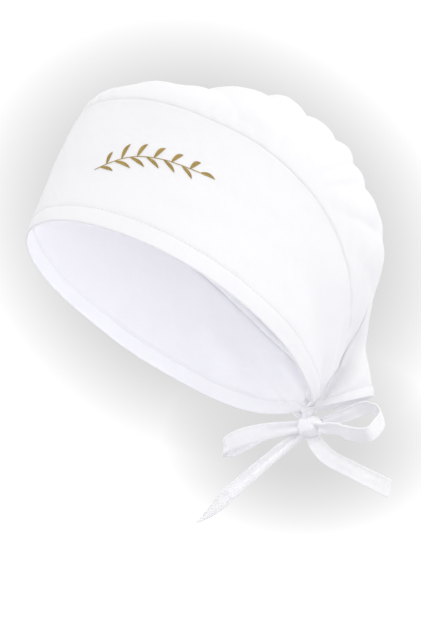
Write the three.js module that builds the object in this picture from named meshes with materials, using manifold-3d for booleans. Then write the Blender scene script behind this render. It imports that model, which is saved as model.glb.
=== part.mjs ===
// A white cotton scrub cap, in the shape it has when it is worn and tied at the nape.
// Millimetres, +Z up, -Y the brow, +X the wearer's left. The origin is the centre of the head opening.
import * as THREE from "three";
import { mergeVertices } from "three/addons/utils/BufferGeometryUtils.js";
import Module from "manifold-3d";

// Driving dimensions: the head opening and how it is worn
const HEAD_LENGTH = 200; // brow to the tie at the nape
const HEAD_BREADTH = 160;
const EDGE_ARCH = 3.4; // the edge rises this much over the ears
const WORN_TILT = 29.7; // degrees, the brow high and the nape low

// The cloth
const CLOTH = 1.5; // double layer, with its seam allowances
const HEM = 2.4; // the turned edge
const SEWN_GAP = 0.35; // between two pieces that are sewn or tied to each other

// The pinch at the nape, where the tie draws both sides together
const TIE_TURN = 150; // degrees from the brow
const NECK_HALF = 4.5;
const POUCH_HALF = 12; // half breadth of the loose cloth behind the tie
const POUCH_LIFT = 37; // its hem is this much higher at its back than at the sides of the head
const POUCH_SAG = 1.15; // above 1 the hem hangs lower on its way to the back
// The tie pulls the ends of the band back and up by this much, and the pull fades fast towards the ears
const TIE_PULL = { back: 6, up: 5, fade: 30 };

// The ties
const TIE_WIDTH = 11;
const TIE_CLOTH = 1.2;
const KNOT_SIZE = { out: 18, back: 12, up: 12.5 };
const KNOT_OFFSET = { behind: 10.4, below: 9.5 }; // from the back of the head opening
const BOW_YAW = 35; // degrees, the bow is turned this much from straight across the nape

// From the lower edge up to the level of the seam at the brow. rise is the share of that height,
// pinch how much of the nape's pinch is left there, and the others how far the cloth stands out
// past the edge of the head opening.
const WALL_LEVELS = [
  { rise: 0.0, pinch: 1.0, front: 0, side: 0, tie: 0, back: 39.5 },
  { rise: 0.17, pinch: 0.97, front: 2.5, side: 2.5, tie: 1, back: 33 },
  { rise: 0.38, pinch: 0.8, front: 6, side: 5.5, tie: 2, back: 18 },
  { rise: 0.65, pinch: 0.35, front: 10, side: 8, tie: 2, back: 13 },
];

// From the level of the seam at the brow to the top, square to the head opening: how far the cloth
// stands out past the opening's edge and how high it is, at the brow, the sides and the back
const CROWN_LEVELS = [
  { front: 12, frontUp: 86, side: 9, sideUp: 92, back: 5, backUp: 92 },
  { front: 8, frontUp: 101, side: 5, sideUp: 111, back: -4, backUp: 113 },
  { front: -8, frontUp: 110, side: -7, sideUp: 127, back: -21, backUp: 130 },
  { front: -34, frontUp: 124, side: -27, sideUp: 145, back: -43, backUp: 145 },
  { front: -66, frontUp: 150, side: -52, sideUp: 160, back: -69, backUp: 157 },
];
const TOP = { behind: -2, up: 166 };

// The seam between band and crown, from the brow to the tie: the level that it has at each turn
const SEAM = [
  { turn: 0, level: 4.0 },
  { turn: 30, level: 4.0 },
  { turn: 60, level: 4.0 },
  { turn: 88, level: 3.9 },
  { turn: 112, level: 3.55 },
  { turn: 130, level: 2.95 },
  { turn: 141, level: 2.2 },
  { turn: 147, level: 1.3 },
  { turn: TIE_TURN, level: 0.5 },
];

// The crown's puffs, one row each. They run from side to side over the crown, between two creases
// that fan out from PUFF_CENTRE: degrees from straight back, seen from the left
const PUFF_CENTRE = { behind: 0, up: 60 };
const PUFF_SPREAD = 95; // mm from the centre at which a puff has its full height
const PUFFS = [
  { from: 134, to: 105, height: 5 },
  { from: 105, to: 88, height: 4 },
  { from: 88, to: 73, height: 2.8 },
  { from: 73, to: 61, height: 3.4 },
  { from: 61, to: 50, height: 2.5 },
  { from: 50, to: 31, height: 3 },
  { from: 31, to: 14, height: 2 },
  { from: 14, to: -6, height: 1.2 },
];
const PUFF_RUN_IN = 0.9; // levels above the seam over which a puff rises

// Soft folds in the cloth, one row each: where the fold starts and ends, as turn and level,
// how far it reaches to each side in mm, and how deep it is
const FOLDS = [
  { turn: 118, level: 0.9, endTurn: 104, endLevel: 2.4, reach: 17, depth: 2.2 },
  { turn: 146, level: 0.9, endTurn: 131, endLevel: 2.3, reach: 6, depth: 1.8 },
  { turn: 139, level: 0.3, endTurn: 128, endLevel: 1.2, reach: 4, depth: 1.0 },
];

// The bow, in its own frame at the knot: out along the bow, back away from the cap, and up.
// width is a share of the tie's full width.
const LOOP_LEFT = [
  { out: 4, back: 2, up: 1, width: 0.6 },
  { out: 16.5, back: 4, up: 4.2, width: 0.75 },
  { out: 35, back: 8, up: 8.8, width: 0.95 },
  { out: 45, back: 6, up: 6, width: 1 },
  { out: 51, back: -2, up: -4.5, width: 1 },
  { out: 48, back: -10.5, up: -12.5, width: 1 },
  { out: 37, back: -11, up: -11.5, width: 1 },
  { out: 22, back: -7.5, up: -6, width: 0.95 },
  { out: 4, back: -2.5, up: -1, width: 0.7 },
];
const LOOP_RIGHT = [
  { out: -4, back: -3, up: 0, width: 0.7 },
  { out: -25, back: -7.5, up: -1, width: 0.95 },
  { out: -40, back: -11, up: -3, width: 1 },
  { out: -55.5, back: -10, up: -6.5, width: 0.95 },
  { out: -61.5, back: -2, up: -8.5, width: 0.75 },
  { out: -57.5, back: 5, up: -5.5, width: 0.85 },
  { out: -45, back: 6, up: -0.5, width: 0.95 },
  { out: -27, back: 3, up: 2, width: 0.8 },
  { out: -4, back: 1.5, up: 0.5, width: 0.6 },
];
const TAIL_LEFT = [
  { out: -1, back: 1.5, up: -2, width: 0.7 },
  { out: 3, back: 1.5, up: -10.5, width: 0.9 },
  { out: 12, back: 2, up: -20.5, width: 0.95 },
  { out: 26.6, back: 5, up: -29.5, width: 0.95 },
  { out: 49, back: 12, up: -43, width: 1 },
];
const TAIL_RIGHT = [
  { out: -2, back: -0.3, up: -1.5, width: 0.6 },
  { out: -13, back: -0.5, up: -7.4, width: 0.66 },
  { out: -36, back: -8, up: -25.8, width: 0.78 },
  { out: -55.5, back: -12, up: -40.8, width: 0.88 },
  { out: -66, back: -13, up: -49.3, width: 0.55 },
  { out: -75.5, back: -14, up: -55, width: 0.1 },
];
// From under the end of the band to the knot, for the left side: out is straight to the left here
const ROOT = [
  { out: 8.5, back: -4.3, up: 10, width: 0.65 },
  { out: 5.5, back: -2.8, up: 7.5, width: 0.65 },
  { out: 3.5, back: -1.2, up: 4.8, width: 0.6 },
  { out: 2.2, back: -0.6, up: 2.4, width: 0.5 },
];
const TAIL_SLANT = 4; // the cut end of the left tail leans back by this much at its upper corner

// How finely the solids are cut
const COLUMNS_PER_SEAM_ROW = 4;
const POUCH_COLUMNS = 8;
const SKIRT_ROWS = 7; // from the seam or the pouch's hem up to SKIRT_TOP
const CAP_ROWS = 12; // from there to the top
const SKIRT_TOP = 4.4; // a level just above the highest stretch of the seam
const BAND_ROWS = 5;
const HEM_LEVEL = 0.8; // about 15 mm above the edge
const TIE_STEPS = 36;
const TAIL_STEPS = 18;
const ROOT_STEPS = 6;

const TOP_LEVEL = WALL_LEVELS.length + CROWN_LEVELS.length;
const SLOPE_STEP = 0.02; // levels, or degrees times ten, for a slope measured on the surface
const CLOTH_SCALE = new THREE.Vector2(1.7, 18); // mm in a degree of turn and in a level
const DEGREE = Math.PI / 180;

const wasm = await Module();
wasm.setup();

const eased = (x) => THREE.MathUtils.smoothstep(x, 0, 1);
const mix = THREE.MathUtils.lerp;

/** A power of a number that rounding may have left a little below zero. */
const power = (x, exponent) => Math.max(x, 0) ** exponent;

/** A turn brought back between straight back over the right and straight back over the left. */
const wrapped = (turn) => THREE.MathUtils.euclideanModulo(turn + 180, 360) - 180;

/** A row of the tables of levels, with its distances from the middle of the head opening. */
function fromMiddle(row) {
  return {
    ...row,
    front: HEAD_LENGTH / 2 + row.front,
    side: HEAD_BREADTH / 2 + row.side,
    tie: HEAD_LENGTH / 2 + row.tie,
    back: HEAD_LENGTH / 2 + row.back,
  };
}

/** The closed figure that the cloth makes at a level when it is pinched: a head and a pouch behind it. */
function pinchedRing(turn, row) {
  const side = Math.sign(wrapped(turn));
  const swing = Math.abs(wrapped(turn));
  if (swing <= TIE_TURN) {
    const angle = (Math.PI * swing) / TIE_TURN;
    const reach = angle < Math.PI / 2 ? row.front : row.tie;
    const nearTie = 0.5 - 0.5 * Math.cos(angle);
    const pull = nearTie ** TIE_PULL.fade;
    return {
      x: side * (row.side * Math.sin(angle) + NECK_HALF * nearTie ** 4),
      behind: -reach * Math.cos(angle) + TIE_PULL.back * pull,
      up: EDGE_ARCH * Math.sin(angle) ** 2 + TIE_PULL.up * pull,
    };
  }
  const share = (swing - TIE_TURN) / (180 - TIE_TURN);
  const back = Math.sin((share * Math.PI) / 2) ** 1.1;
  return {
    x: side * (NECK_HALF * (1 - share) ** 2 + POUCH_HALF * power(Math.sin(share * Math.PI), 0.75)),
    behind: mix(row.tie + TIE_PULL.back, row.back, back),
    up: mix(TIE_PULL.up, POUCH_LIFT, back ** POUCH_SAG),
  };
}

/** The round figure that the cloth makes where nothing pinches it. */
function openRing(turn, row) {
  const middle = (row.back - row.front) / 2;
  const half = (row.back + row.front) / 2;
  return {
    x: row.side * Math.sin(turn * DEGREE),
    behind: middle - half * Math.cos(turn * DEGREE),
  };
}

/** The height of a crown level at a turn, from its heights at the brow, the sides and the back. */
function crownHeight(turn, row) {
  const c = Math.cos(turn * DEGREE);
  const tilt = (row.frontUp - row.backUp) / 2;
  const dish = (row.frontUp + row.backUp) / 2 - row.sideUp;
  return row.sideUp + tilt * c + dish * c * c;
}

/** A point of one of the tables' levels. The level past the top is the mirror of the one before it. */
function levelPoint(turn, index) {
  if (index < 0) {
    const edge = levelPoint(turn, 0);
    return edge.multiplyScalar(2).sub(levelPoint(turn, 1));
  }
  if (index < WALL_LEVELS.length) {
    const row = fromMiddle(WALL_LEVELS[index]);
    const pinched = pinchedRing(turn, row);
    const open = openRing(turn, row);
    const seamHeight = crownHeight(turn, CROWN_LEVELS[0]);
    return new THREE.Vector3(
      mix(open.x, pinched.x, row.pinch),
      mix(open.behind, pinched.behind, row.pinch),
      mix(pinched.up, seamHeight, row.rise),
    );
  }
  if (index === TOP_LEVEL) return new THREE.Vector3(0, TOP.behind, TOP.up);
  if (index > TOP_LEVEL) return levelPoint(turn + 180, 2 * TOP_LEVEL - index);
  const row = fromMiddle(CROWN_LEVELS[index - WALL_LEVELS.length]);
  const open = openRing(turn, row);
  return new THREE.Vector3(open.x, open.behind, crownHeight(turn, row));
}

/** The smooth surface through the levels, before puffs and folds. */
function smoothPoint(turn, level) {
  const below = Math.min(Math.floor(level), TOP_LEVEL - 1);
  const points = [-1, 0, 1, 2].map((step) => levelPoint(turn, below + step));
  const t = level - below;
  const weights = [
    ((2 - t) * t - 1) * t,
    (3 * t - 5) * t * t + 2,
    ((4 - 3 * t) * t + 1) * t,
    (t - 1) * t * t,
  ];
  const sum = new THREE.Vector3();
  points.forEach((point, i) => sum.addScaledVector(point, weights[i] / 2));
  return sum;
}

/** The outward normal of a surface given as a function of turn and level. */
function normalOf(surface, turn, level) {
  const low = Math.max(level - SLOPE_STEP, 0);
  const high = Math.min(level + SLOPE_STEP, TOP_LEVEL - SLOPE_STEP);
  const up = surface(turn, high).sub(surface(turn, low));
  const ahead = surface(turn + SLOPE_STEP * 10, Math.min(level, high));
  const around = ahead.sub(surface(turn - SLOPE_STEP * 10, Math.min(level, high)));
  return around.cross(up).normalize();
}

const seamCurve = new THREE.SplineCurve(SEAM.map(({ turn, level }) => new THREE.Vector2(turn, level)));

/** Turn and seam level for each column of the left side, from the brow to the tie. */
const seamColumns = seamCurve.getPoints((SEAM.length - 1) * COLUMNS_PER_SEAM_ROW);

/** The seam's columns moved off it along the cloth, up into the crown or, below zero, down into the band. */
function besideSeam(distance) {
  return seamColumns.map((column, i) => {
    const ahead = seamColumns[Math.min(i + 1, seamColumns.length - 1)];
    const run = ahead.clone().sub(seamColumns[Math.max(i - 1, 0)]).multiply(CLOTH_SCALE);
    const away = new THREE.Vector2(-run.y, run.x).setLength(distance).divide(CLOTH_SCALE);
    return column.clone().add(away);
  });
}

/** The level of the seam at a turn. Behind the tie it stays as low as it is there. */
function seamLevel(turn) {
  const swing = Math.min(Math.abs(wrapped(turn)), TIE_TURN - SLOPE_STEP);
  const next = Math.max(seamColumns.findIndex((column) => column.x > swing), 1);
  const [a, b] = [seamColumns[next - 1], seamColumns[next]];
  return mix(a.y, b.y, (swing - a.x) / (b.x - a.x));
}

/** How far the crown's puffs lift the cloth at a point. */
function puffHeight(point, turn, level) {
  const angle = Math.atan2(point.z - PUFF_CENTRE.up, point.y - PUFF_CENTRE.behind) / DEGREE;
  const puff = PUFFS.find(({ from, to }) => angle <= from && angle > to);
  if (!puff) return 0;
  const across = (angle - puff.to) / (puff.from - puff.to);
  const crest = power(Math.sin(Math.PI * across), 0.8);
  const spread = Math.hypot(point.z - PUFF_CENTRE.up, point.y - PUFF_CENTRE.behind) / PUFF_SPREAD;
  return puff.height * crest * Math.min(spread, 1) * eased((level - seamLevel(turn)) / PUFF_RUN_IN);
}

/** How far the folds sink the cloth at a point: a trough along a line from start to end. */
function foldDepth(point, turn) {
  let depth = 0;
  for (const fold of FOLDS) {
    const side = Math.sign(wrapped(turn));
    const start = smoothPoint(side * fold.turn, fold.level);
    const end = smoothPoint(side * fold.endTurn, fold.endLevel);
    const run = end.clone().sub(start);
    const share = THREE.MathUtils.clamp(point.clone().sub(start).dot(run) / run.lengthSq(), 0, 1);
    const away = point.distanceTo(start.addScaledVector(run, share)) / fold.reach;
    if (away < 1) depth += fold.depth * (1 - eased(away)) * Math.sin(Math.PI * mix(0.15, 0.85, share));
  }
  return depth;
}

/** A point of the cap's outer face. */
function capPoint(turn, level) {
  const point = smoothPoint(turn, level);
  const crownShare = puffHeight(point, turn, level);
  const lift = crownShare - foldDepth(point, turn);
  if (lift === 0) return point;
  return point.addScaledVector(normalOf(smoothPoint, turn, level), lift);
}

/** A pair of points through the wall: the outer face and the inner face. */
function wallPoints(turn, level, thickness) {
  const outer = capPoint(turn, level);
  const inner = outer.clone().addScaledVector(normalOf(capPoint, turn, level), -thickness);
  return { outer, inner };
}

/** A mesh geometry from points and triangles. */
function geometryFrom(points, triangles) {
  const geometry = new THREE.BufferGeometry().setFromPoints(points);
  geometry.setIndex(triangles);
  geometry.computeVertexNormals();
  return geometry;
}

/** Adds the two triangles of a four-sided face whose corners run anticlockwise seen from outside. */
function addQuad(triangles, a, b, c, d) {
  triangles.push(a, b, c, a, c, d);
}

/** The crown's columns, from the right side of the pouch round to its left: the turn and the level
 * that each starts from, and the even turn that it takes up toward the top. */
function crownColumns() {
  const left = besideSeam(SEWN_GAP).map(({ x, y }) => ({ turn: x, low: y }));
  for (let i = 1; i <= POUCH_COLUMNS; i += 1) {
    left.push({ turn: mix(TIE_TURN, 180, (i / POUCH_COLUMNS) ** 1.3), low: 0 });
  }
  left.forEach((column, i) => {
    column.even = (180 * i) / (left.length - 1);
  });
  const right = left.slice(1, -1).reverse();
  return [...right.map(({ turn, low, even }) => ({ turn: -turn, low, even: -even })), ...left];
}

/** Turn and level of one of the crown's points. */
function crownPlace({ turn, low, even }, row) {
  if (row <= SKIRT_ROWS) return { turn, level: mix(low, SKIRT_TOP, row / SKIRT_ROWS) };
  const share = (row - SKIRT_ROWS) / CAP_ROWS;
  return { turn: mix(turn, even, eased(share)), level: mix(SKIRT_TOP, TOP_LEVEL, share) };
}

/** The crown: it closes round the head above the band, and hangs behind the tie as a pouch. */
function crownGeometry() {
  const columns = crownColumns();
  const count = columns.length;
  const rows = SKIRT_ROWS + CAP_ROWS;
  const points = [];
  for (let row = 0; row < rows; row += 1) {
    for (const column of columns) {
      const { turn, level } = crownPlace(column, row);
      const { outer, inner } = wallPoints(turn, level, level === 0 ? HEM : CLOTH);
      points.push(outer, inner);
    }
  }
  const at = (row, column, face) => 2 * (row * count + (column % count)) + face;
  const triangles = [];
  for (let i = 0; i < count; i += 1) {
    addQuad(triangles, at(0, i, 0), at(0, i, 1), at(0, i + 1, 1), at(0, i + 1, 0));
    for (let row = 0; row < rows - 1; row += 1) {
      addQuad(triangles, at(row, i, 0), at(row, i + 1, 0), at(row + 1, i + 1, 0), at(row + 1, i, 0));
      addQuad(triangles, at(row, i, 1), at(row + 1, i, 1), at(row + 1, i + 1, 1), at(row, i + 1, 1));
    }
  }
  const top = capPoint(0, TOP_LEVEL);
  points.push(top, top.clone().setZ(top.z - CLOTH));
  const last = rows - 1;
  for (let i = 0; i < count; i += 1) {
    triangles.push(at(last, i, 0), at(last, i + 1, 0), points.length - 2);
    triangles.push(at(last, i + 1, 1), at(last, i, 1), points.length - 1);
  }
  return geometryFrom(points, triangles);
}

/** The band: from tie to tie round the brow, with its lower edge turned up as a hem. */
function bandGeometry() {
  const left = besideSeam(-SEWN_GAP).map(({ x, y }) => ({ turn: x, high: y }));
  const right = left.slice(1).reverse();
  const columns = [...right.map(({ turn, high }) => ({ turn: -turn, high })), ...left];
  const points = [];
  for (const { turn, high } of columns) {
    const hem = Math.min(HEM_LEVEL, high * 0.5);
    const above = Math.min(hem + 0.08, high * 0.6);
    const levels = [0, hem];
    for (let row = 0; row < BAND_ROWS; row += 1) levels.push(mix(above, high, row / (BAND_ROWS - 1)));
    levels.forEach((level, row) => {
      const { outer, inner } = wallPoints(turn, level, row < 2 ? HEM : CLOTH);
      points.push(outer, inner);
    });
  }
  const rows = BAND_ROWS + 2;
  const at = (row, column, face) => 2 * (column * rows + row) + face;
  const triangles = [];
  const last = columns.length - 1;
  for (let i = 0; i < last; i += 1) {
    addQuad(triangles, at(0, i, 0), at(0, i, 1), at(0, i + 1, 1), at(0, i + 1, 0));
    addQuad(triangles, at(rows - 1, i, 1), at(rows - 1, i, 0), at(rows - 1, i + 1, 0), at(rows - 1, i + 1, 1));
    for (let row = 0; row < rows - 1; row += 1) {
      addQuad(triangles, at(row, i, 0), at(row, i + 1, 0), at(row + 1, i + 1, 0), at(row + 1, i, 0));
      addQuad(triangles, at(row, i, 1), at(row + 1, i, 1), at(row + 1, i + 1, 1), at(row, i + 1, 1));
    }
  }
  for (let row = 0; row < rows - 1; row += 1) {
    addQuad(triangles, at(row, 0, 1), at(row, 0, 0), at(row + 1, 0, 0), at(row + 1, 0, 1));
    addQuad(triangles, at(row, last, 0), at(row, last, 1), at(row + 1, last, 1), at(row + 1, last, 0));
  }
  return geometryFrom(points, triangles);
}

/** A flat tie along a route, its width laid along the vector across, and its far end cut at a slant. */
function tieGeometry(route, across, steps, slant = 0) {
  const curve = new THREE.CatmullRomCurve3(route.map(({ out, back, up }) => new THREE.Vector3(out, back, up)));
  const widths = new THREE.SplineCurve(route.map(({ width }, i) => new THREE.Vector2(i, width)));
  const points = [];
  for (let i = 0; i <= steps; i += 1) {
    const share = i / steps;
    const centre = curve.getPoint(share);
    const along = curve.getTangent(share);
    const edgewise = across.clone().addScaledVector(along, -across.dot(along)).normalize();
    const facing = along.clone().cross(edgewise);
    const half = (TIE_WIDTH / 2) * widths.getPoint(share).y;
    for (const [w, t] of [[-1, -1], [1, -1], [1, 1], [-1, 1]]) {
      const point = centre.clone().addScaledVector(edgewise, w * half);
      if (i === steps) point.addScaledVector(along, (-w * slant) / 2);
      points.push(point.addScaledVector(facing, (t * TIE_CLOTH) / 2));
    }
  }
  const triangles = [];
  for (let i = 0; i < steps; i += 1) {
    for (let side = 0; side < 4; side += 1) {
      const next = (side + 1) % 4;
      addQuad(triangles, 4 * i + side, 4 * i + next, 4 * i + 4 + next, 4 * i + 4 + side);
    }
  }
  addQuad(triangles, 3, 2, 1, 0);
  addQuad(triangles, 4 * steps, 4 * steps + 1, 4 * steps + 2, 4 * steps + 3);
  return geometryFrom(points, triangles);
}

/** The tied knot: a soft round lump, grown by an allowance where it is used to cut the ties. */
function knotGeometry(allowance = 0) {
  const knot = new THREE.SphereGeometry(0.5, 20, 14);
  const bulge = knot.getAttribute("position");
  for (let i = 0; i < bulge.count; i += 1) {
    for (let axis = 0; axis < 3; axis += 1) {
      const share = 2 * bulge.getComponent(i, axis);
      bulge.setComponent(i, axis, 0.5 * Math.sign(share) * Math.abs(share) ** 0.8);
    }
  }
  const { out, back, up } = KNOT_SIZE;
  return knot.scale(out + 2 * allowance, back + 2 * allowance, up + 2 * allowance);
}

/** A solid that can be cut, from a closed geometry. */
function solidFrom(geometry) {
  const bare = geometry.clone();
  bare.deleteAttribute("normal");
  bare.deleteAttribute("uv");
  const merged = mergeVertices(bare, 1e-4);
  const mesh = new wasm.Mesh({
    numProp: 3,
    vertProperties: new Float32Array(merged.attributes.position.array),
    triVerts: new Uint32Array(merged.index.array),
  });
  return new wasm.Manifold(mesh);
}

/** A tie cut short where it goes into the knot, as one body. yaw turns the knot in the tie's own frame. */
function cutAtKnot(tie, yaw = 0) {
  const cut = solidFrom(tie).subtract(solidFrom(knotGeometry(SEWN_GAP).rotateZ(yaw)));
  const bodies = cut.decompose().sort((a, b) => b.volume() - a.volume());
  const { vertProperties, triVerts } = bodies[0].getMesh();
  const geometry = new THREE.BufferGeometry();
  geometry.setAttribute("position", new THREE.BufferAttribute(vertProperties, 3));
  geometry.setIndex(new THREE.BufferAttribute(triVerts, 1));
  geometry.computeVertexNormals();
  return geometry;
}

const cotton = { color: 0xf7f6fb, roughness: 0.85, metalness: 0, side: THREE.FrontSide };

/** A named mesh of plain cotton. */
function cottonMesh(name, geometry) {
  const mesh = new THREE.Mesh(geometry, new THREE.MeshStandardMaterial(cotton));
  mesh.name = name;
  return mesh;
}

const cap = new THREE.Group();
cap.rotation.x = -WORN_TILT * DEGREE;
cap.add(cottonMesh("band", bandGeometry()));
cap.add(cottonMesh("crown", crownGeometry()));

const upright = new THREE.Vector3(0, 0, 1);
const loopLeftAcross = new THREE.Vector3(0.13, -0.74, 0.66);
const loopRightAcross = new THREE.Vector3(0.05, -0.25, 0.97);
const rootAcross = new THREE.Vector3(0, 1, 0);

const knotPlace = new THREE.Vector3(
  0,
  (HEAD_LENGTH / 2) * Math.cos(WORN_TILT * DEGREE) + KNOT_OFFSET.behind,
  (-HEAD_LENGTH / 2) * Math.sin(WORN_TILT * DEGREE) - KNOT_OFFSET.below,
);

const bow = new THREE.Group();
bow.position.copy(knotPlace);
bow.rotation.z = BOW_YAW * DEGREE;
bow.add(cottonMesh("tie_knot", knotGeometry()));
bow.add(cottonMesh("bow_loop_left", cutAtKnot(tieGeometry(LOOP_LEFT, loopLeftAcross, TIE_STEPS))));
bow.add(cottonMesh("bow_loop_right", cutAtKnot(tieGeometry(LOOP_RIGHT, loopRightAcross, TIE_STEPS))));
bow.add(cottonMesh("tie_tail_left", cutAtKnot(tieGeometry(TAIL_LEFT, upright, TAIL_STEPS, TAIL_SLANT))));
bow.add(cottonMesh("tie_tail_right", cutAtKnot(tieGeometry(TAIL_RIGHT, upright, TAIL_STEPS))));

const roots = new THREE.Group();
roots.position.copy(knotPlace);
for (const [side, sign] of [["left", 1], ["right", -1]]) {
  const route = ROOT.map((row) => ({ ...row, out: sign * row.out }));
  const root = tieGeometry(route, rootAcross, ROOT_STEPS);
  roots.add(cottonMesh(`tie_root_${side}`, cutAtKnot(root, BOW_YAW * DEGREE)));
}

const part = new THREE.Group();
part.add(cap, bow, roots);

export default part;
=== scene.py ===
"""Dresses the scrub cap: white cotton walls with sewn hems, a tied bow and a small gold sprig on the band.

The cap's own shape is worked out in millimetres, from the same sizes and tables as the solids, and is
turned to metres where a mesh is made. +Z is up, -Y the brow and +X the wearer's left. A turn is counted in
degrees from the brow towards the left, and a level counts the tables' sections from the lower edge up.
"""

from __future__ import annotations

import logging
import math
from dataclasses import dataclass
from enum import Enum
from functools import cache
from typing import Any, Sequence

import bpy
import numpy as np
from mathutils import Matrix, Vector

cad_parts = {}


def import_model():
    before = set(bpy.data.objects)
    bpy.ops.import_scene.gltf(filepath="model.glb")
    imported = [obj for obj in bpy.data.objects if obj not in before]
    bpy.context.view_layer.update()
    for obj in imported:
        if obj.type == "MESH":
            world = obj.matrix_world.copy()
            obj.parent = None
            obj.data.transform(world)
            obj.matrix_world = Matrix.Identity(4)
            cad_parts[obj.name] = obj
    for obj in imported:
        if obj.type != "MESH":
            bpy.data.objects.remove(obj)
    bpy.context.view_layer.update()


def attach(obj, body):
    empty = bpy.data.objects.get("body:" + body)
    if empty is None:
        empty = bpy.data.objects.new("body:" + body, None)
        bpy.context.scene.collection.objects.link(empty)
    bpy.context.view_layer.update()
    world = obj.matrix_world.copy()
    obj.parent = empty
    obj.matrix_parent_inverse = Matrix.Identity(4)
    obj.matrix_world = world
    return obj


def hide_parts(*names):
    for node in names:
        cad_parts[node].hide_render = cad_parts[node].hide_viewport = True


Array = np.ndarray

MM = 0.001
ROOT = "root"
TAU = 2 * math.pi
# How far a wave's length strays from the usual one, as shares of it.
WAVE_SPREAD = (0.75, 1.3)
# Edges that turn by more degrees than this stay sharp.
SMOOTH_ANGLE = 65.0
# The least side of a sheet, in metres. The two roots are a little shorter.
LEAST_SIDE = 0.0101

log = logging.getLogger("scrub_cap")


def mix(a: Any, b: Any, share: Any) -> Any:
    """The value that lies the given share of the way from a to b."""
    return a + (b - a) * share


def eased(x: Any) -> Any:
    """A share from 0 to 1 that starts and ends gently."""
    x = np.clip(x, 0.0, 1.0)
    return x * x * (3 - 2 * x)


def bell(x: Any) -> Any:
    """A soft bump that is 1 at zero and nearly gone at 2."""
    return np.exp(-np.square(x))


def unit(vectors: Array) -> Array:
    """Vectors brought to length one."""
    return vectors / np.maximum(np.linalg.norm(vectors, axis=-1, keepdims=True), 1e-9)


def wrapped(turn: Array) -> Array:
    """Turns brought back between straight back over the right and straight back over the left."""
    return np.mod(turn + 180.0, 360.0) - 180.0


def soft_noise(places: Array, length: float, seed: int, waves: int = 9) -> Array:
    """A smooth random height at each place, about -1 to 1.

    Args:
        places: Points of any dimension, last axis the coordinates.
        length: The usual distance from crest to crest, in the unit of the places.
        seed: Chooses the pattern.
        waves: How many waves are summed.

    Returns:
        One height for each point.
    """
    draw = np.random.default_rng(seed)
    total = np.zeros(places.shape[:-1])
    for _ in range(waves):
        along = draw.normal(size=places.shape[-1])
        along *= TAU / (length * draw.uniform(*WAVE_SPREAD) * np.linalg.norm(along))
        total += np.sin(places @ along + draw.uniform(0, TAU))
    return total / math.sqrt(waves)


def cubic(a: Array, b: Array, lean: Array, reach: Array, t: Array) -> Array:
    """Points between a and b on the cubic that leaves a with slope lean and meets b with slope reach."""
    bend = 2 * a - 2 * b + lean + reach
    return bend * t**3 + (3 * b - 3 * a - 2 * lean - reach) * t**2 + lean * t + a


def spline(points: Array, share: Array) -> Array:
    """Points on the even Catmull-Rom curve through the given ones, share counted in their gaps.

    Args:
        points: The places that the curve runs through.
        share: Where it is read, counted in their gaps.

    Returns:
        One point for each share.
    """
    last = len(points) - 1
    index = np.clip(np.floor(share), 0, last - 1).astype(int)
    a, b = points[np.maximum(index - 1, 0)], points[index]
    c, d = points[index + 1], points[np.minimum(index + 2, last)]
    return cubic(b, c, (c - a) / 2, (d - b) / 2, (share - index)[:, None])


def route_curve(points: Array, share: Array) -> Array:
    """Points on the centripetal Catmull-Rom curve through the given ones, share counted in their gaps.

    Args:
        points: The places that the curve runs through.
        share: Where it is read, counted in their gaps.

    Returns:
        One point for each share.
    """
    ends = np.vstack([2 * points[0] - points[1], points, 2 * points[-1] - points[-2]])
    index = np.clip(np.floor(share), 0, len(points) - 2).astype(int)
    a, b, c, d = (ends[index + i] for i in range(4))
    gaps = [np.linalg.norm(q - p, axis=1, keepdims=True) ** 0.5 for p, q in ((a, b), (b, c), (c, d))]
    lean = ((b - a) / gaps[0] - (c - a) / (gaps[0] + gaps[1]) + (c - b) / gaps[1]) * gaps[1]
    reach = ((c - b) / gaps[1] - (d - b) / (gaps[1] + gaps[2]) + (d - c) / gaps[2]) * gaps[1]
    return cubic(b, c, lean, reach, (share - index)[:, None])


def arc_lengths(places: Array, axis: int = 0) -> Array:
    """How far along the grid each point is from the first one, along an axis.

    Args:
        places: A grid of points.
        axis: The axis to go along.

    Returns:
        A length for each point.
    """
    steps = np.linalg.norm(np.diff(places, axis=axis), axis=-1)
    start = np.zeros_like(np.take(steps, [0], axis=axis))
    return np.concatenate([start, np.cumsum(steps, axis=axis)], axis=axis)


def sampled(at: Array, length: Array, values: Array) -> Array:
    """Vectors read off a line of them at given lengths along it."""
    return np.stack([np.interp(at, length, values[:, i]) for i in range(values.shape[1])], 1)


@dataclass(frozen=True)
class WallLevel:
    """A section of the cap's wall: how far the cloth stands out past the head opening."""

    rise: float
    pinch: float
    front: float
    side: float
    tie: float
    back: float


@dataclass(frozen=True)
class CrownLevel:
    """A section of the crown: how far it stands out past the head opening, and how high it is."""

    front: float
    front_up: float
    side: float
    side_up: float
    back: float
    back_up: float
    tie: float = 0.0


@dataclass(frozen=True)
class Puff:
    """A puff of the crown between two creases, in degrees from straight back, seen from the left."""

    start: float
    end: float
    height: float


@dataclass(frozen=True)
class Fold:
    """A soft trough from one place of the wall to another."""

    turn: float
    level: float
    end_turn: float
    end_level: float
    reach: float
    depth: float


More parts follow.
